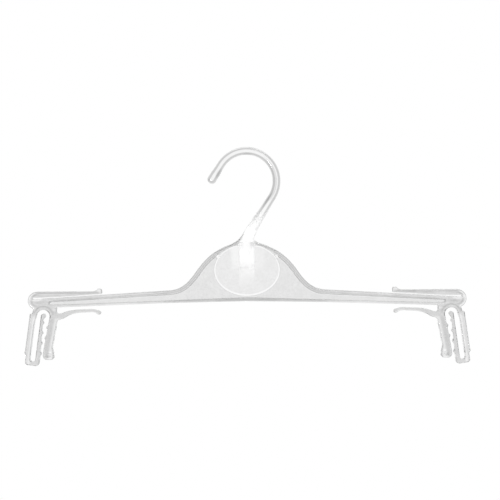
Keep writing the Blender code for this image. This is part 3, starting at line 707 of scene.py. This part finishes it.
def pocket_outline():
    """The pocket that leaves the web, from the middle of the plate through the arm to the end loop."""
    low, high = LOWER_RIB_ARM, ARM_END_HEIGHT - TOP_RIB
    radius = (high - low) / 2
    nose = arc((LOOP_POCKET_LENGTH, low + radius), radius, pi / 2, -pi / 2)
    end = [at_end(*p) for p in nose]
    right = pocket_top() + end + [(PLATE_HALF_WIDTH, PLATE_END_BOTTOM + LOWER_RIB_ARM)]
    return right + [(0, BASE + LOWER_RIB_CENTRE)] + mirrored(right)[:-1]


def oval(steps=120):
    """The panel's oval, cut off along the shoulder ribs."""
    top = pocket_top()
    highest = top[2][1]
    points = []
    for angle in (-2 * pi * i / steps for i in range(steps)):
        x = OVAL_HALF_WIDTH * cos(angle)
        z = BASE + OVAL_HEIGHT + OVAL_HALF_HEIGHT * sin(angle)
        points.append((x, min(z, min(highest, height_at(top, abs(x))) - PANEL_LEDGE)))
    return points


def lower_edge(x):
    """Height of the hanger's lower edge from the plate's middle out to the arm's end."""
    out = abs(x)
    if out < PLATE_HALF_WIDTH:
        return BASE - PLATE_DROOP * out / PLATE_HALF_WIDTH
    return PLATE_END_BOTTOM - ARM_DROP * (out - PLATE_HALF_WIDTH) / ARM_LENGTH


# The closed skin, whose faces are of these kinds

FRAME, WEB, PANEL, RING, BAR, WALL = range(6)


def edge_round(x, z):
    """How broad the edge's round is at a point of the outline: broad on the ribs, small on slender members."""
    reach, height = end_place(x, z)
    if reach < -TONGUE_REACH:
        ends = (PLATE_HALF_WIDTH * 0.5, PLATE_HALF_WIDTH * 1.5)
        low = change(abs(x), ends, LOW_ROUND_CENTRE, LOW_ROUND_ARM)
        return low if z < PLATE_END_BOTTOM + ARM_END_HEIGHT / 3 else TOP_ROUND
    if height > TONGUE_TOP - KNOB_ROUND / 3:
        return TONGUE_ROUND
    if reach > LOOP_CENTRE[0] and abs(dist((reach, height), LOOP_CENTRE) - LOOP_RADIUS) < MEMBER_ROUND:
        return LOOP_ROUND
    if reach < FINGER_PIVOT[0] and height < UNDER_ARM:
        return FINGER_ROUND
    if reach < 0:
        return LOW_ROUND_ARM if height < LOW_ROUND_ARM else MEMBER_ROUND
    if height < -JAW_DROP + FOOT_HEIGHT * 0.6 and reach < FOOT_REACH + MEMBER_ROUND:
        return FOOT_ROUND
    across, up = clip_place(reach, height)
    outer = across > SLOT_HALF + LEG_WIDTH * 0.8 or up < -SLOT_HALF * 1.2
    on_face = reach < JAW_FACE_TOP[0] + SLOT_WIDTH and height < ARCH_CENTRE[1] and across < -SLOT_HALF
    on_face = on_face and abs(jaw_depth(reach, height)) < TOOTH_RISE * 1.2
    return CLIP_ROUND if height < 0 and (outer or on_face) else MEMBER_ROUND


def make_frame():
    """The flat frame, with rounds on its edges that are smaller on the slender end members."""
    outline = drawn_in(clockwise(rounded(frame_outline(), CORNER_ROUND)), OUTLINE_INSET)
    rounds = spread_out(outline, [edge_round(x, z) for x, z in outline], ROUND_SPREAD)
    rounds = without_folds(outline, rounds)
    front = []
    for k in range(ROUND_STEPS + 1):
        angle = pi / 2 * k / ROUND_STEPS
        insets = [DRAFT + (r - DRAFT) * (1 - sin(angle)) for r in rounds]
        levels = [r * (1 - cos(angle)) - FRAME_DEPTH / 2 for r in rounds]
        front.append((drawn_in(outline, insets), levels))
    back = [(points, [-y for y in levels]) for points, levels in reversed(front)]
    return stacked("frame", front + [(outline, 0.0)] + back, WALL, FRAME)


def neck_cutter(way):
    """A broad round that thins the frame towards the neck, where only the bar goes on."""
    bm = bmesh.new()
    radius = NECK_SCOOP_RADIUS
    bmesh.ops.create_cone(bm, cap_ends=True, segments=220, radius1=radius, radius2=radius, depth=0.03)
    turn = Matrix.Rotation(pi / 2 - SHANK_SLOPE, 4, "Y") @ Matrix.Rotation(pi / 2, 4, "Y")
    x, z = leaning(NECK_PLANE, SHANK_SLOPE, -NECK_SCOOP_RUN, 0)
    y = way * (FRAME_DEPTH / 2 + radius)
    bmesh.ops.transform(bm, matrix=Matrix.Translation((x, y, z)) @ turn, verts=bm.verts)
    return mesh_object(f"scoop_{way}", bm)


def pocket_cutter(name, outline, way, floor, kind, fillet=FLOOR_ROUND, rim=RIM_ROUND):
    """A cutter with a filleted floor and a rounded rim. way is -1 for the front face and 1 for the back."""
    outline = clockwise(rounded(outline, max(CORNER_ROUND, fillet * 2)))
    count = len(outline)
    fillets = [fillet] * count
    if kind == WEB:
        middle = ARM_END_HEIGHT / 2
        fillets = [UPPER_FLOOR_ROUND if z > lower_edge(x) + middle else fillet for x, z in outline]
        fillets = without_folds(outline, spread_out(outline, fillets, ROUND_SPREAD))
    rings = []
    for angle in (pi / 2 * k / 5 for k in range(6)):
        insets = [f * (1 - sin(angle)) for f in fillets]
        rings.append((insets, [floor + f * (1 - cos(angle)) for f in fillets]))
    for angle in (RIM_END * k / 4 for k in range(5)):
        inset = -rim * (1 - cos(angle)) - 0.00005
        rings.append((inset, FRAME_DEPTH / 2 - rim * (0.92 - sin(angle))))
    rings.append((-rim * 2, FRAME_DEPTH / 2 + rim * 0.6))
    lofted = [(drawn_in(outline, inset), [way * y for y in as_list(level, count)]) for inset, level in rings]
    return stacked(name, lofted, WALL, kind)


def foot_cutters():
    """Cutters for the shallow round ejector marks on the faces of both feet."""
    ring = circle(at_end(*FOOT_CENTRE), FOOT_MARK_RADIUS)
    floor, fillet = FRAME_DEPTH / 2 - FOOT_MARK_DEPTH, FOOT_MARK_DEPTH / 2
    return [
        pocket_cutter(f"foot_{side}_{way}", outline, way, floor, FRAME, fillet, fillet)
        for side, outline in (("right", ring), ("left", mirrored(ring)))
        for way in (-1, 1)
    ]


def make_mark(side):
    """A round ejector mark on the front of the web."""
    centre = (side * MARK_PLACE[0], MARK_PLACE[1])
    web = WEB_THICKNESS / 2
    rings = ((MARK_RADIUS, 0), (MARK_RADIUS, web + MARK_RISE * 0.6), (MARK_RADIUS * 0.9, web + MARK_RISE))
    return stacked(f"mark_{side}", [(circle(centre, radius), -y) for radius, y in rings], WEB, WEB)


def make_pad():
    """The raised oval, with a flat clear ring round it and a low step down to the web."""
    outline = clockwise(rounded(oval(), CORNER_ROUND))
    top, web = PANEL_THICKNESS / 2, WEB_THICKNESS / 2
    low = BASE + OVAL_HEIGHT - OVAL_HALF_HEIGHT
    rims = [change(z, (low, low + 2 * OVAL_HALF_HEIGHT), *OVAL_RIM) for _, z in outline]
    rings = [(rims, top), (OVAL_STEP * 1.4, top), (OVAL_STEP, top - OVAL_STEP * 0.3)]
    rings += [(0.0, web), (0.0, web - PAD_ROOT)]
    lofted = [(drawn_in(outline, inset), -y) for inset, y in rings]
    lofted += [(drawn_in(outline, inset), y) for inset, y in reversed(rings)]
    return stacked("pad", lofted, RING, PANEL)


def bar_rings():
    """The bar from the hook's tip to the end of the spine, as rings of (x, z, half width, half depth)."""
    thin, wide = HOOK_DIAMETER / 2 - HOOK_INSET, SHANK_BASE_DIAMETER / 2 - HOOK_INSET
    bow = arc(BOW_CENTRE, BOW_RADIUS, SHANK_SLOPE + pi / 2, SHANK_SLOPE - pi / 2, 64)
    tip = []
    for lift in (pi / 2 * (0.06 + 0.94 * i / 7) for i in range(8)):
        tip.append((HOOK_TIP_RUN + TIP_RADIUS * cos(lift), TIP_RADIUS * sin(lift)))
    for run in (HOOK_TIP_RUN * (1 - i / 9) for i in range(1, 9)):
        tip.append((run, change(run, TIP_SWELL, thin, TIP_RADIUS)))
    rings = [(*leaning(bow[0], SHANK_SLOPE, -run, 0), radius, radius) for run, radius in tip]
    rings += [(x, z, thin, thin) for x, z in bow]
    length = dist(SHANK_TOP, NECK_PLANE) - MEMBER_GAP
    for share in (i / 12 for i in range(1, 13)):
        radius = thin + (wide - thin) * share**1.4
        rings.append((*leaning(SHANK_TOP, SHANK_SLOPE, -length * share, 0), radius, radius))
    top = pocket_top()[0][1]
    reach = (NECK_BEND_REACH, NECK_BEND_REACH)
    bend = curve_between(rings[-1][:2], pi - SHANK_SLOPE, (0, top), pi / 2, reach, 10)[1:]
    for i, (x, z) in enumerate(bend):
        sizes = [change(i + 1, (0, len(bend)), wide, last) for last in (SPINE_HALF_WIDTH, SPINE_TOP_DEPTH)]
        rings.append((x, z, *sizes))
    for share in (i / SPINE_RINGS for i in range(1, SPINE_RINGS + 1)):
        depth = SPINE_END_DEPTH + (SPINE_TOP_DEPTH - SPINE_END_DEPTH) * (1 - share) ** 2
        rings.append((0, top - SPINE_LENGTH * share, SPINE_HALF_WIDTH, depth))
    return rings


def make_bar():
    """The bar as a closed body. From the pocket's top down it is of the panel's kind."""
    rings = bar_rings()
    turns = [2 * pi * k / BAR_SIDES for k in range(BAR_SIDES)]
    lofted = []
    for i, (x, z, width, depth) in enumerate(rings):
        along = Vector(run_at(rings, i)).normalized()
        outline = [(x - along.y * side, z + along.x * side) for side in (width * cos(t) for t in turns)]
        lofted.append((outline, [depth * sin(t) for t in turns]))
    kinds = [BAR] * (len(rings) - 1 - SPINE_RINGS) + [PANEL] * SPINE_RINGS
    return stacked("bar", lofted, kinds, BAR)


def combine(body, cutters, added):
    """The body with cutters taken off and others added, as one mesh whose faces keep their kinds."""
    for other in cutters + added:
        modifier = body.modifiers.new(other.name, "BOOLEAN")
        modifier.operation = "UNION" if other in added else "DIFFERENCE"
        set_all(modifier, solver="EXACT", material_mode="TRANSFER", object=other)
    mesh = evaluated(body)
    for used in (body, *cutters, *added):
        bpy.data.objects.remove(used)
    return mesh


# Where the members begin: a point of the root, the way from root to tip, and how far the bending spreads

TONGUE_ROOT = ((TONGUE_PIVOT_REACH, TONGUE_OUTER_BOTTOM), (-1, 0), 0.009)
FINGER_ROOT = (FINGER_PIVOT, (-cos(FINGER_ROOT_SLOPE), sin(FINGER_ROOT_SLOPE)), 0.007)
SPRING_PIVOT = clip_point(-SLOT_HALF - SPRING_NOSE, SPRING_ROOT_UP)
SPRING_ROOT = (SPRING_PIVOT, (-sin(SLOT_LEAN), cos(SLOT_LEAN)), 0.007)
ROOTS = {"strap_tongue": TONGUE_ROOT, "strap_finger": FINGER_ROOT, "clip_spring": SPRING_ROOT}


def past_root(root, reach, height):
    """How far an end point lies past a member's root, along the member."""
    (x, z), (dx, dz), _ = root
    return (reach - x) * dx + (height - z) * dz


def slit_height(reach):
    """Height of the slit's middle under the tongue."""
    inner = ARM_END_HEIGHT - TOP_FALL * reach
    share = min(1, max(0, reach / TONGUE_PIVOT_REACH))
    return inner + (TONGUE_GAP + (TONGUE_GAP_OUTER - TONGUE_GAP) * share) / 2


def member_at(reach, height):
    """The member that an end point belongs to, or None."""
    if reach < -TONGUE_REACH - 0.002:
        return None
    if height > slit_height(reach) and past_root(TONGUE_ROOT, reach, height) > 0:
        return "strap_tongue"
    if height > ROOT_LEVEL and reach > JAW_INSET * 0.5:
        return None
    on_finger = height < UNDER_ARM and reach < FINGER_PIVOT[0] + 0.003
    if on_finger and past_root(FINGER_ROOT, reach, height) > 0:
        return "strap_finger"
    across, up = clip_place(reach, height)
    beside_slot = -SLOT_HALF - SPRING_ROOT_WIDTH - TOOTH_REACH < across < 0 and up > SPRING_ROOT_UP
    clear = jaw_depth(reach, height) < -TOOTH_REACH and height < ARCH_TOP - 0.0009
    return "clip_spring" if beside_slot and clear else None


def thin_members(mesh):
    """The members that flex are a little thinner than the frame."""
    for v in mesh.vertices:
        place = end_place(v.co.x, v.co.z)
        member = member_at(*place)
        if member:
            past = past_root(ROOTS[member], *place)
            v.co.y *= change(past, (0, BEND_RAMP), 1, FLEXING_DEPTH / FRAME_DEPTH)


def place_of(x, z, kind):
    """The name of the node that a face of the skin belongs to."""
    if z > NECK_PLANE[1] - 0.006 and lean_place(NECK_PLANE, SHANK_SLOPE, x, z)[0] > 0:
        return "hook"
    if kind in (PANEL, RING) or (kind == BAR and z < pocket_top()[0][1]):
        return "oval_panel"
    if abs(x) < PLATE_HALF_WIDTH:
        return "centre_plate"
    side = "right" if x > 0 else "left"
    reach, height = end_place(x, z)
    member = member_at(reach, height)
    if member:
        return f"{member}_{side}"
    if reach < 0 and height > UNDER_ARM:
        return f"arm_{side}"
    if height > ROOT_LEVEL:
        return f"end_loop_{side}"
    on_jaw = jaw_depth(reach, height) > -TOOTH_REACH and clip_place(reach, height)[0] < 0
    return f"clip_jaw_{side}" if on_jaw else f"clip_leg_{side}"


def cut_planes():
    """The planes that divide the skin, as (point, normal, side, least x on that side). Side 0 is all of it."""
    planes = []
    for x in (-PLATE_HALF_WIDTH, -ARM_END_X, PLATE_HALF_WIDTH, ARM_END_X):
        planes.append(((x, 0, 0), (1, 0, 0), 0, -1))
    for side in (-1, 1):
        planes.append(((0, 0, ARM_END_BOTTOM + ROOT_LEVEL), (0, 0, 1), side, ARM_END_X))
        for place, (dx, dz), _ in ROOTS.values():
            x, z = at_end(*place)
            planes.append(((side * x, 0, z), (side * dx, 0, dz), side, ARM_END_X - 0.006))
    return planes


def cut_faces(whole, faces, point, normal):
    geometry = set(faces)
    for face in faces:
        geometry.update(face.edges, face.verts)
    bmesh.ops.bisect_plane(whole, geom=list(geometry), dist=1e-7, plane_co=point, plane_no=normal)


def divide(mesh):
    """Cuts the skin along its planes and returns one mesh for each named piece, with the skin's own normals."""
    normals = np.array([n.vector for n in mesh.corner_normals], np.float32)
    mesh.attributes.new("kept_normal", "FLOAT_VECTOR", "CORNER").data.foreach_set("vector", normals.ravel())
    whole = bmesh.new()
    whole.from_mesh(mesh)
    neck = Vector((NECK_PLANE[0], 0, NECK_PLANE[1]))
    near = [f for f in whole.faces if (f.calc_center_median() - neck).length < NECK_SCOOP_RADIUS]
    cut_faces(whole, near, neck, Vector((-cos(SHANK_SLOPE), 0, -sin(SHANK_SLOPE))))
    for point, normal, side, least in cut_planes():
        near = [f for f in whole.faces if f.calc_center_median().x * side > least]
        cut_faces(whole, near, Vector(point), Vector(normal))
    whole.faces.index_update()
    names = {}
    for face in whole.faces:
        c = face.calc_center_median()
        names.setdefault(place_of(c.x, c.z, face.material_index), set()).add(face.index)
    made = {}
    for name, indices in names.items():
        part = whole.copy()
        part.faces.ensure_lookup_table()
        bmesh.ops.delete(part, geom=[f for f in part.faces if f.index not in indices], context="FACES")
        made[name] = bpy.data.meshes.new(name)
        part.to_mesh(made[name])
        part.free()
    whole.free()
    for piece in made.values():
        attribute = piece.attributes["kept_normal"]
        normals = np.array([corner.vector for corner in attribute.data], np.float32)
        normals /= np.maximum(np.linalg.norm(normals, axis=1, keepdims=True), 1e-9)
        piece.attributes.remove(attribute)
        piece.shade_smooth()
        piece.normals_split_custom_set(normals.tolist())
    return made


def make_skin():
    """The whole closed skin, with its corner normals weighted by face area."""
    body = make_frame()
    web = WEB_THICKNESS / 2
    cutters = [pocket_cutter(f"pocket_{way}", pocket_outline(), way, web, WEB) for way in (-1, 1)]
    cutters += [neck_cutter(way) for way in (-1, 1)] + foot_cutters()
    added = [make_mark(-1), make_mark(1), make_pad(), make_bar()]
    kinds = [bpy.data.materials.new(f"kind_{kind}") for kind in range(WALL + 1)]
    for piece in (body, *cutters, *added):
        add_materials(piece.data, kinds)
    mesh = combine(body, cutters, added)
    welded = bmesh.new()
    welded.from_mesh(mesh)
    bmesh.ops.remove_doubles(welded, verts=welded.verts, dist=WELD)
    bmesh.ops.dissolve_degenerate(welded, edges=welded.edges, dist=WELD)
    welded.to_mesh(mesh)
    welded.free()
    thin_members(mesh)
    mesh.shade_smooth()
    mesh.set_sharp_from_angle(angle=radians(40))
    holder = new_object("holder", mesh)
    weighted = holder.modifiers.new("weighted", "WEIGHTED_NORMAL")
    set_all(weighted, mode="FACE_AREA_WITH_ANGLE", weight=50, keep_sharp=True)
    final = evaluated(holder)
    bpy.data.objects.remove(holder)
    return final


# Materials


def method(operation, way=1):
    """A method that works out a number with one maths node. A way of -1 swaps the two terms."""
    return lambda *terms: terms[0].nodes.maths(operation, *terms[::way])


class Value:
    """A number that nodes work out. It takes part in sums and products like any other number."""

    def __init__(self, nodes, socket):
        self.nodes, self.socket = nodes, socket

    __add__ = __radd__ = method("ADD")
    __mul__ = __rmul__ = method("MULTIPLY")
    __sub__, __rsub__ = method("SUBTRACT"), method("SUBTRACT", -1)
    __abs__, at_least = method("ABSOLUTE"), method("MAXIMUM")

    def ramp(self, low, high, to_low=0.0, to_high=1.0, kind="SMOOTHSTEP"):
        """A soft step from to_low, where the number is low or less, to to_high, where it is high or more."""
        limits = {"Value": self, "From Min": low, "From Max": high, "To Min": to_low, "To Max": to_high}
        node = self.nodes.add("ShaderNodeMapRange", limits, interpolation_type=kind)
        return Value(self.nodes, node.outputs["Result"])

    def fall(self, low, high):
        return self.ramp(low, high, 1.0, 0.0)


class Nodes:
    """Short calls for building the nodes of one material or world."""

    def __init__(self, owner):
        owner.use_nodes = True
        self.tree = owner.node_tree
        self.tree.nodes.clear()

    def add(self, kind, inputs=None, **settings):
        """A new node. inputs gives each named socket a number, a colour, a Value or another node's output."""
        node = self.tree.nodes.new(kind)
        set_all(node, **settings)
        for name, source in (inputs or {}).items():
            source = source.socket if isinstance(source, Value) else source
            if isinstance(source, bpy.types.NodeSocket):
                self.tree.links.new(source, node.inputs[name])
            else:
                node.inputs[name].default_value = source
        return node

    def maths(self, operation, *terms):
        node = self.add("ShaderNodeMath", dict(enumerate(terms)), operation=operation)
        return Value(self, node.outputs[0])

    def noise(self, place, scale, detail, roughness, distortion=0.0):
        inputs = {"Vector": place, "Scale": scale, "Detail": detail}
        inputs |= {"Roughness": roughness, "Distortion": distortion}
        return Value(self, self.add("ShaderNodeTexNoise", inputs).outputs["Fac"])

    def parts(self, vector):
        """The x, y and z of a vector."""
        return [Value(self, part) for part in self.add("ShaderNodeSeparateXYZ", {0: vector}).outputs]


def length(x, z):
    return x.nodes.maths("SQRT", x * x + z * z)


def blob(x, z, size, low, high, amount):
    """A soft oval round the origin: the amount inside the share low of its size, none past the share high."""
    return length(x * (1 / size[0]), z * (1 / size[1])).ramp(low, high, amount, 0.0)


def gate_blush_and_painted_glow(x, z, drift, grains):
    """The painted glow round the gate, which lightens the colour towards white, and how milky the gate's blush
    is: full at the shank's foot, the spine's top and in two spots, weaker in a strip down the panel and in a
    patch beside it, where only the painted glow lies."""
    across = x - ((z - NECK_POINT[1]) * (1 / tan(SHANK_SLOPE))).at_least(0.0)
    middle = across - z.ramp(*BLOOM_BEND, 0.0, 0.0006)
    sweep = z.ramp(*SWEEP_FOOT, -0.001, 0.0007) * z.fall(*SWEEP_TOP) * z.ramp(-0.062, -0.061)
    aside = abs(middle) - z.ramp(*BLOOM_FLARE, 0.0, 0.0014)
    aside = aside + middle.fall(-0.0005, 0.0005) * sweep - z.ramp(-0.0625, -0.061, 0.0004, 0.0)
    top = (z - x * 0.3 - grains * 0.009).fall(*BLOOM_TOP)
    low = z + drift
    end = (low + grains * 0.011).ramp(*BLOOM_END)
    milky = (aside - grains * grains * 0.0022).fall(*BLOOM_EDGE) * top * end
    milky = milky.at_least(length(abs(across) - SPOT_PLACE[0], z - SPOT_PLACE[1]).fall(*SPOT_EDGE))
    # The core, strip and patch only lighten the colour: painted glow, not blush.
    rows = low.ramp(*STRIP_ROWS)
    core = aside.fall(*CORE_EDGE) * z.fall(*CORE_TOP) * rows
    across = across + drift
    strip = abs(across).ramp(*STRIP_EDGE, 0.66, 0.0) * rows
    patch = across.ramp(-0.0122, -0.0086, 0.0, 0.5) * across.ramp(0.004, 0.007, 1.0, 0.5)
    patch = patch * across.fall(0.007, 0.013) * low.ramp(*PATCH_ROWS)
    patch = patch.at_least(strip) * z.fall(*PANEL_TOP)
    return patch.at_least(milky).at_least(core), milky


def bar_painted_shade(n, place, x, z):
    """Painted shade: the dark streaks that refraction gives along the hook's bow, tip and shank."""
    inward = BOW_RADIUS - length(x, z - BOW_CENTRE[1])
    tone = inward.ramp(-0.0003, 0.0) * inward.fall(0.0004, 0.0008) * x.ramp(0.01, 0.019, 0.0, -0.2)
    for centre, lean, *shape in HOOK_SHADE_SPOTS:
        tone += blob(*lean_place(centre, lean, x, z), *shape)
    return tone


def frame_painted_shading_and_streaks(n, place, x, z):
    """Painted light and shade standing in for refraction: ribs, rims and the legs' outer sides are painted
    darker, thin sides lighter, with faint random streaks along the arms.
    """
    out = abs(x)
    reach, height = out - ARM_END_X, z - ARM_END_BOTTOM
    # Painted shade: the plate is darker towards its middle.
    tone = out.ramp(0.04, 0.075, -0.12, 0.0) + out.ramp(0.018, 0.024, -0.05, 0.0)
    depth = jaw_depth(reach, height)
    on_jaw = depth.ramp(-0.0018, -0.0012) * height.fall(-0.0085, -0.0065)
    # Painted shade on the jaw's toothed side, painted light on its inboard side.
    tone += depth.ramp(JAW_SHADE_BAND - 0.0006, JAW_SHADE_BAND + 0.0009, -0.06, 0.14) * on_jaw
    across, _ = clip_place(reach, height)
    edge = SLOT_HALF + LEG_WIDTH - LEG_SHADE_BAND
    on_leg = across.ramp(SLOT_HALF - 0.0004, SLOT_HALF) * height.fall(-0.008, -0.004)
    tone += across.ramp(edge - 0.0008, edge + 0.0006, 0.18, 0.03) * on_leg
    # Painted shade: dark rings round the arch and inside the loop.
    over_arch = height.ramp(ARCH_CENTRE[1], ARCH_CENTRE[1] + 0.003)
    in_loop = reach.ramp(LOOP_CENTRE[0] - 0.002, LOOP_CENTRE[0] + 0.002)
    rims = (ARCH_CENTRE, ARCH_RADIUS + RIM_SHADE_OFFSET, over_arch), (LOOP_CENTRE, LOOP_RADIUS - RIM_SHADE_OFFSET, in_loop)
    for centre, radius, share in rims:
        off = abs(length(reach - centre[0], height - centre[1]) - radius)
        tone += off.ramp(0.0001, 0.0009, -0.16, 0.0) * share
    # Painted shade: a dark line along the tongue.
    tongue_shade_line = abs(height - (TONGUE_TOP - 0.0011)).ramp(0.0002, 0.0009, -0.14, -0.02)
    on_tongue = reach.ramp(-TONGUE_REACH, KNOB_LENGTH - TONGUE_REACH) * reach.fall(0.014, 0.018)
    tone += tongue_shade_line * on_tongue
    tone += height.fall(-0.0014, -0.0009) * reach.fall(-0.004, 0.001) * -0.01
    # Painted shade under the arm's top rib, painted light near its lower edge.
    under_top = reach * TOP_FALL + height + (TOP_RIB * 0.95 - ARM_END_HEIGHT)
    arm_light_and_shade_lines = abs(under_top).ramp(0.0003, 0.0009, -0.13, 0.0)
    arm_light_and_shade_lines += (reach * (ARM_DROP / ARM_LENGTH) + height).ramp(0.0018, 0.0024, 0.05, 0.0)
    tone += arm_light_and_shade_lines * out.ramp(0.05, 0.062) * reach.fall(0.0, 0.006) * height.ramp(-0.002, -0.001)
    # Painted highlights and painted shade in spots on the ends.
    for centre, *shape in PAINTED_LIGHT_SHADE_SPOTS:
        tone += blob(reach - centre[0], height - centre[1], *shape)
    long = n.add("ShaderNodeMapping", {"Vector": place, "Scale": (0.12, 0.4, 1.0)}).outputs[0]
    streak = n.noise(long, 800, 2, 0.6).ramp(0.35, 0.65, -0.05, 0.05)
    return tone + streak * height.ramp(-0.004, -0.001) * out.ramp(0.04, 0.06)


def clear_plastic(name, tint, mottle, roughness, bump, tone=None):
    """Clear plastic: how much light a wall lets through, with flow mottle, scuffs and faint ripples."""
    material = bpy.data.materials.new(name)
    n = Nodes(material)
    place = n.add("ShaderNodeTexCoord").outputs["Object"]
    x, _, z = n.parts(place)
    broad = n.noise(place, 130, 2, 0.5)
    flow = n.noise(place, 210, 1, 0.5, 2.5)
    grain = n.noise(place, 900, 3, 0.6) * 0.45 + broad * 0.25 + flow * 0.3
    shade = grain.ramp(0.3, 0.7, tint - mottle, tint + mottle)
    # The tone function adds painted light and shade.
    if tone:
        shade = n.maths("MINIMUM", shade + tone(n, place, x, z), 0.98)
    drift = n.noise(place, 170, 1, 0.5, 1.0) * 0.0052 - 0.0026
    grains = n.noise(place, 7000, 1, 0.5).ramp(0.3, 0.7, kind="LINEAR")
    painted_glow_and_blush, milky = gate_blush_and_painted_glow(x, z, drift, grains)
    # Painted glow: the colour is lightened towards white round the gate.
    shade = shade + (1.0 - shade) * painted_glow_and_blush
    milk = milky * 0.85
    colour = n.add("ShaderNodeCombineColor", {"Red": shade, "Green": shade, "Blue": shade})
    ripple = n.add("ShaderNodeBump", {"Strength": bump, "Distance": 0.0002, "Height": grain})
    looks = {
        "Base Color": colour.outputs[0],
        "IOR": 1.5,
        "Transmission Weight": 1.0 - milk,
        "Roughness": broad.ramp(0.35, 0.75, roughness, roughness * 2.2) + milk * 0.3,
        "Normal": ripple.outputs[0],
    }
    shader = n.add("ShaderNodeBsdfPrincipled", looks)
    n.add("ShaderNodeOutputMaterial", {"Surface": shader.outputs[0]})
    return material


def plastics():
    """The plastic of each kind of face, in the order of the kinds."""
    # The tints are set per kind of face to match how bright each looks: the ring, bar and walls are painted
    # lighter and the frame darker, in place of the light and shade that refraction gives them.
    return [
        clear_plastic("frame_plastic", 0.69, 0.06, 0.03, 0.12, frame_painted_shading_and_streaks),
        clear_plastic("web_plastic", 0.778, 0.05, 0.06, 0.25),
        clear_plastic("panel_plastic", 0.825, 0.05, 0.06, 0.25),
        # Painted highlight: the ring round the oval is tinted near white.
        clear_plastic("ring_plastic_painted_highlight", 0.95, 0.03, 0.05, 0.1),
        clear_plastic("bar_plastic", 0.92, 0.03, 0.02, 0.06, bar_painted_shade),
        clear_plastic("wall_plastic", 0.95, 0.02, 0.08, 0.0, frame_painted_shading_and_streaks),
    ]


def place_pieces():
    materials = plastics()
    for name, mesh in divide(make_skin()).items():
        add_materials(mesh, materials)
        piece = new_object(f"{name}_clear", mesh)
        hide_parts(name)
        member, _, side_name = name.rpartition("_")
        if member in ROOTS:
            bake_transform(piece)
        else:
            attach(piece, "moulding")


# Studio


def make_world():
    """A white surround, in which the plastic sees a bright window with dimmer zones about it."""
    world = bpy.data.worlds.new("studio")
    bpy.context.scene.world = world
    n = Nodes(world)
    _, y, z = n.parts(n.add("ShaderNodeTexCoord").outputs["Generated"])
    facing = z * sin(WINDOW_LIFT) + abs(y) * cos(WINDOW_LIFT)
    window = facing.ramp(*WINDOW_RIM, DIM_LEVEL, 1.0)
    around = window.at_least(facing.ramp(*DIM_RIM, SIDE_LEVEL, DIM_LEVEL))
    rays = n.add("ShaderNodeLightPath").outputs
    through = n.maths("MAXIMUM", rays["Is Glossy Ray"], rays["Is Transmission Ray"])
    strength = SIDE_LEVEL
    for share, level in ((through, around), (rays["Is Camera Ray"], 1.0)):
        terms = {"Factor": share, "A": strength, "B": level}
        strength = n.add("ShaderNodeMix", terms, data_type="FLOAT").outputs["Result"]
    background = n.add("ShaderNodeBackground", {"Color": (1, 1, 1, 1), "Strength": strength})
    n.add("ShaderNodeOutputWorld", {"Surface": background.outputs[0]})


def make_floor():
    """A pale floor under the hanging object, which fades into the white surround at its rim."""
    bm = bmesh.new()
    bmesh.ops.create_circle(bm, cap_ends=True, segments=96, radius=FLOOR_RADIUS)
    floor = mesh_object("studio_floor", bm)
    floor.location = (0, -0.05, FLOOR_LEVEL)
    material = bpy.data.materials.new("studio_floor")
    n = Nodes(material)
    x, y, _ = n.parts(n.add("ShaderNodeTexCoord").outputs["Object"])
    matt = n.add("ShaderNodeBsdfDiffuse", {"Color": (0.9, 0.9, 0.9, 1)}).outputs[0]
    white = n.add("ShaderNodeEmission").outputs[0]
    fade = n.add("ShaderNodeMixShader", {0: length(x, y).ramp(*FLOOR_FADE), 1: matt, 2: white})
    n.add("ShaderNodeOutputMaterial", {"Surface": fade.outputs[0]})
    floor.data.materials.append(material)


def make_lamp(name, place, size, power):
    """A square lamp that points at the hanger's middle."""
    light = bpy.data.lights.new(name, "AREA")
    set_all(light, shape="RECTANGLE", size=size, size_y=size, energy=power)
    lamp = new_object(name, light, location=place, visible_camera=False, visible_transmission=False)
    lamp.rotation_mode = "QUATERNION"
    lamp.rotation_quaternion = (LAMP_TARGET - Vector(place)).to_track_quat("-Z", "Y")


def make_camera():
    data = bpy.data.cameras.new("camera")
    data.sensor_width = 36
    data.lens = data.sensor_width * CAMERA_DISTANCE / FRAME_WIDTH
    data.clip_start, data.clip_end = 0.1, 20
    camera = new_object("camera", data)
    place = Matrix.Translation((VIEW_CENTRE[0], -CAMERA_DISTANCE, VIEW_CENTRE[1]))
    camera.matrix_world = place @ Matrix.Rotation(VIEW_TILT, 4, "Y") @ Matrix.Rotation(pi / 2, 4, "X")
    bpy.context.scene.camera = camera


make_camera()
place_pieces()
make_world()
make_floor()
make_lamp("key", (-0.62, -1.05, -0.45), 0.3, 4.5)
make_lamp("top", (0.5, -0.6, 1.2), 0.6, 3.6)

bpy.context.scene.view_settings.view_transform = "Standard"
bpy.context.view_layer.update()
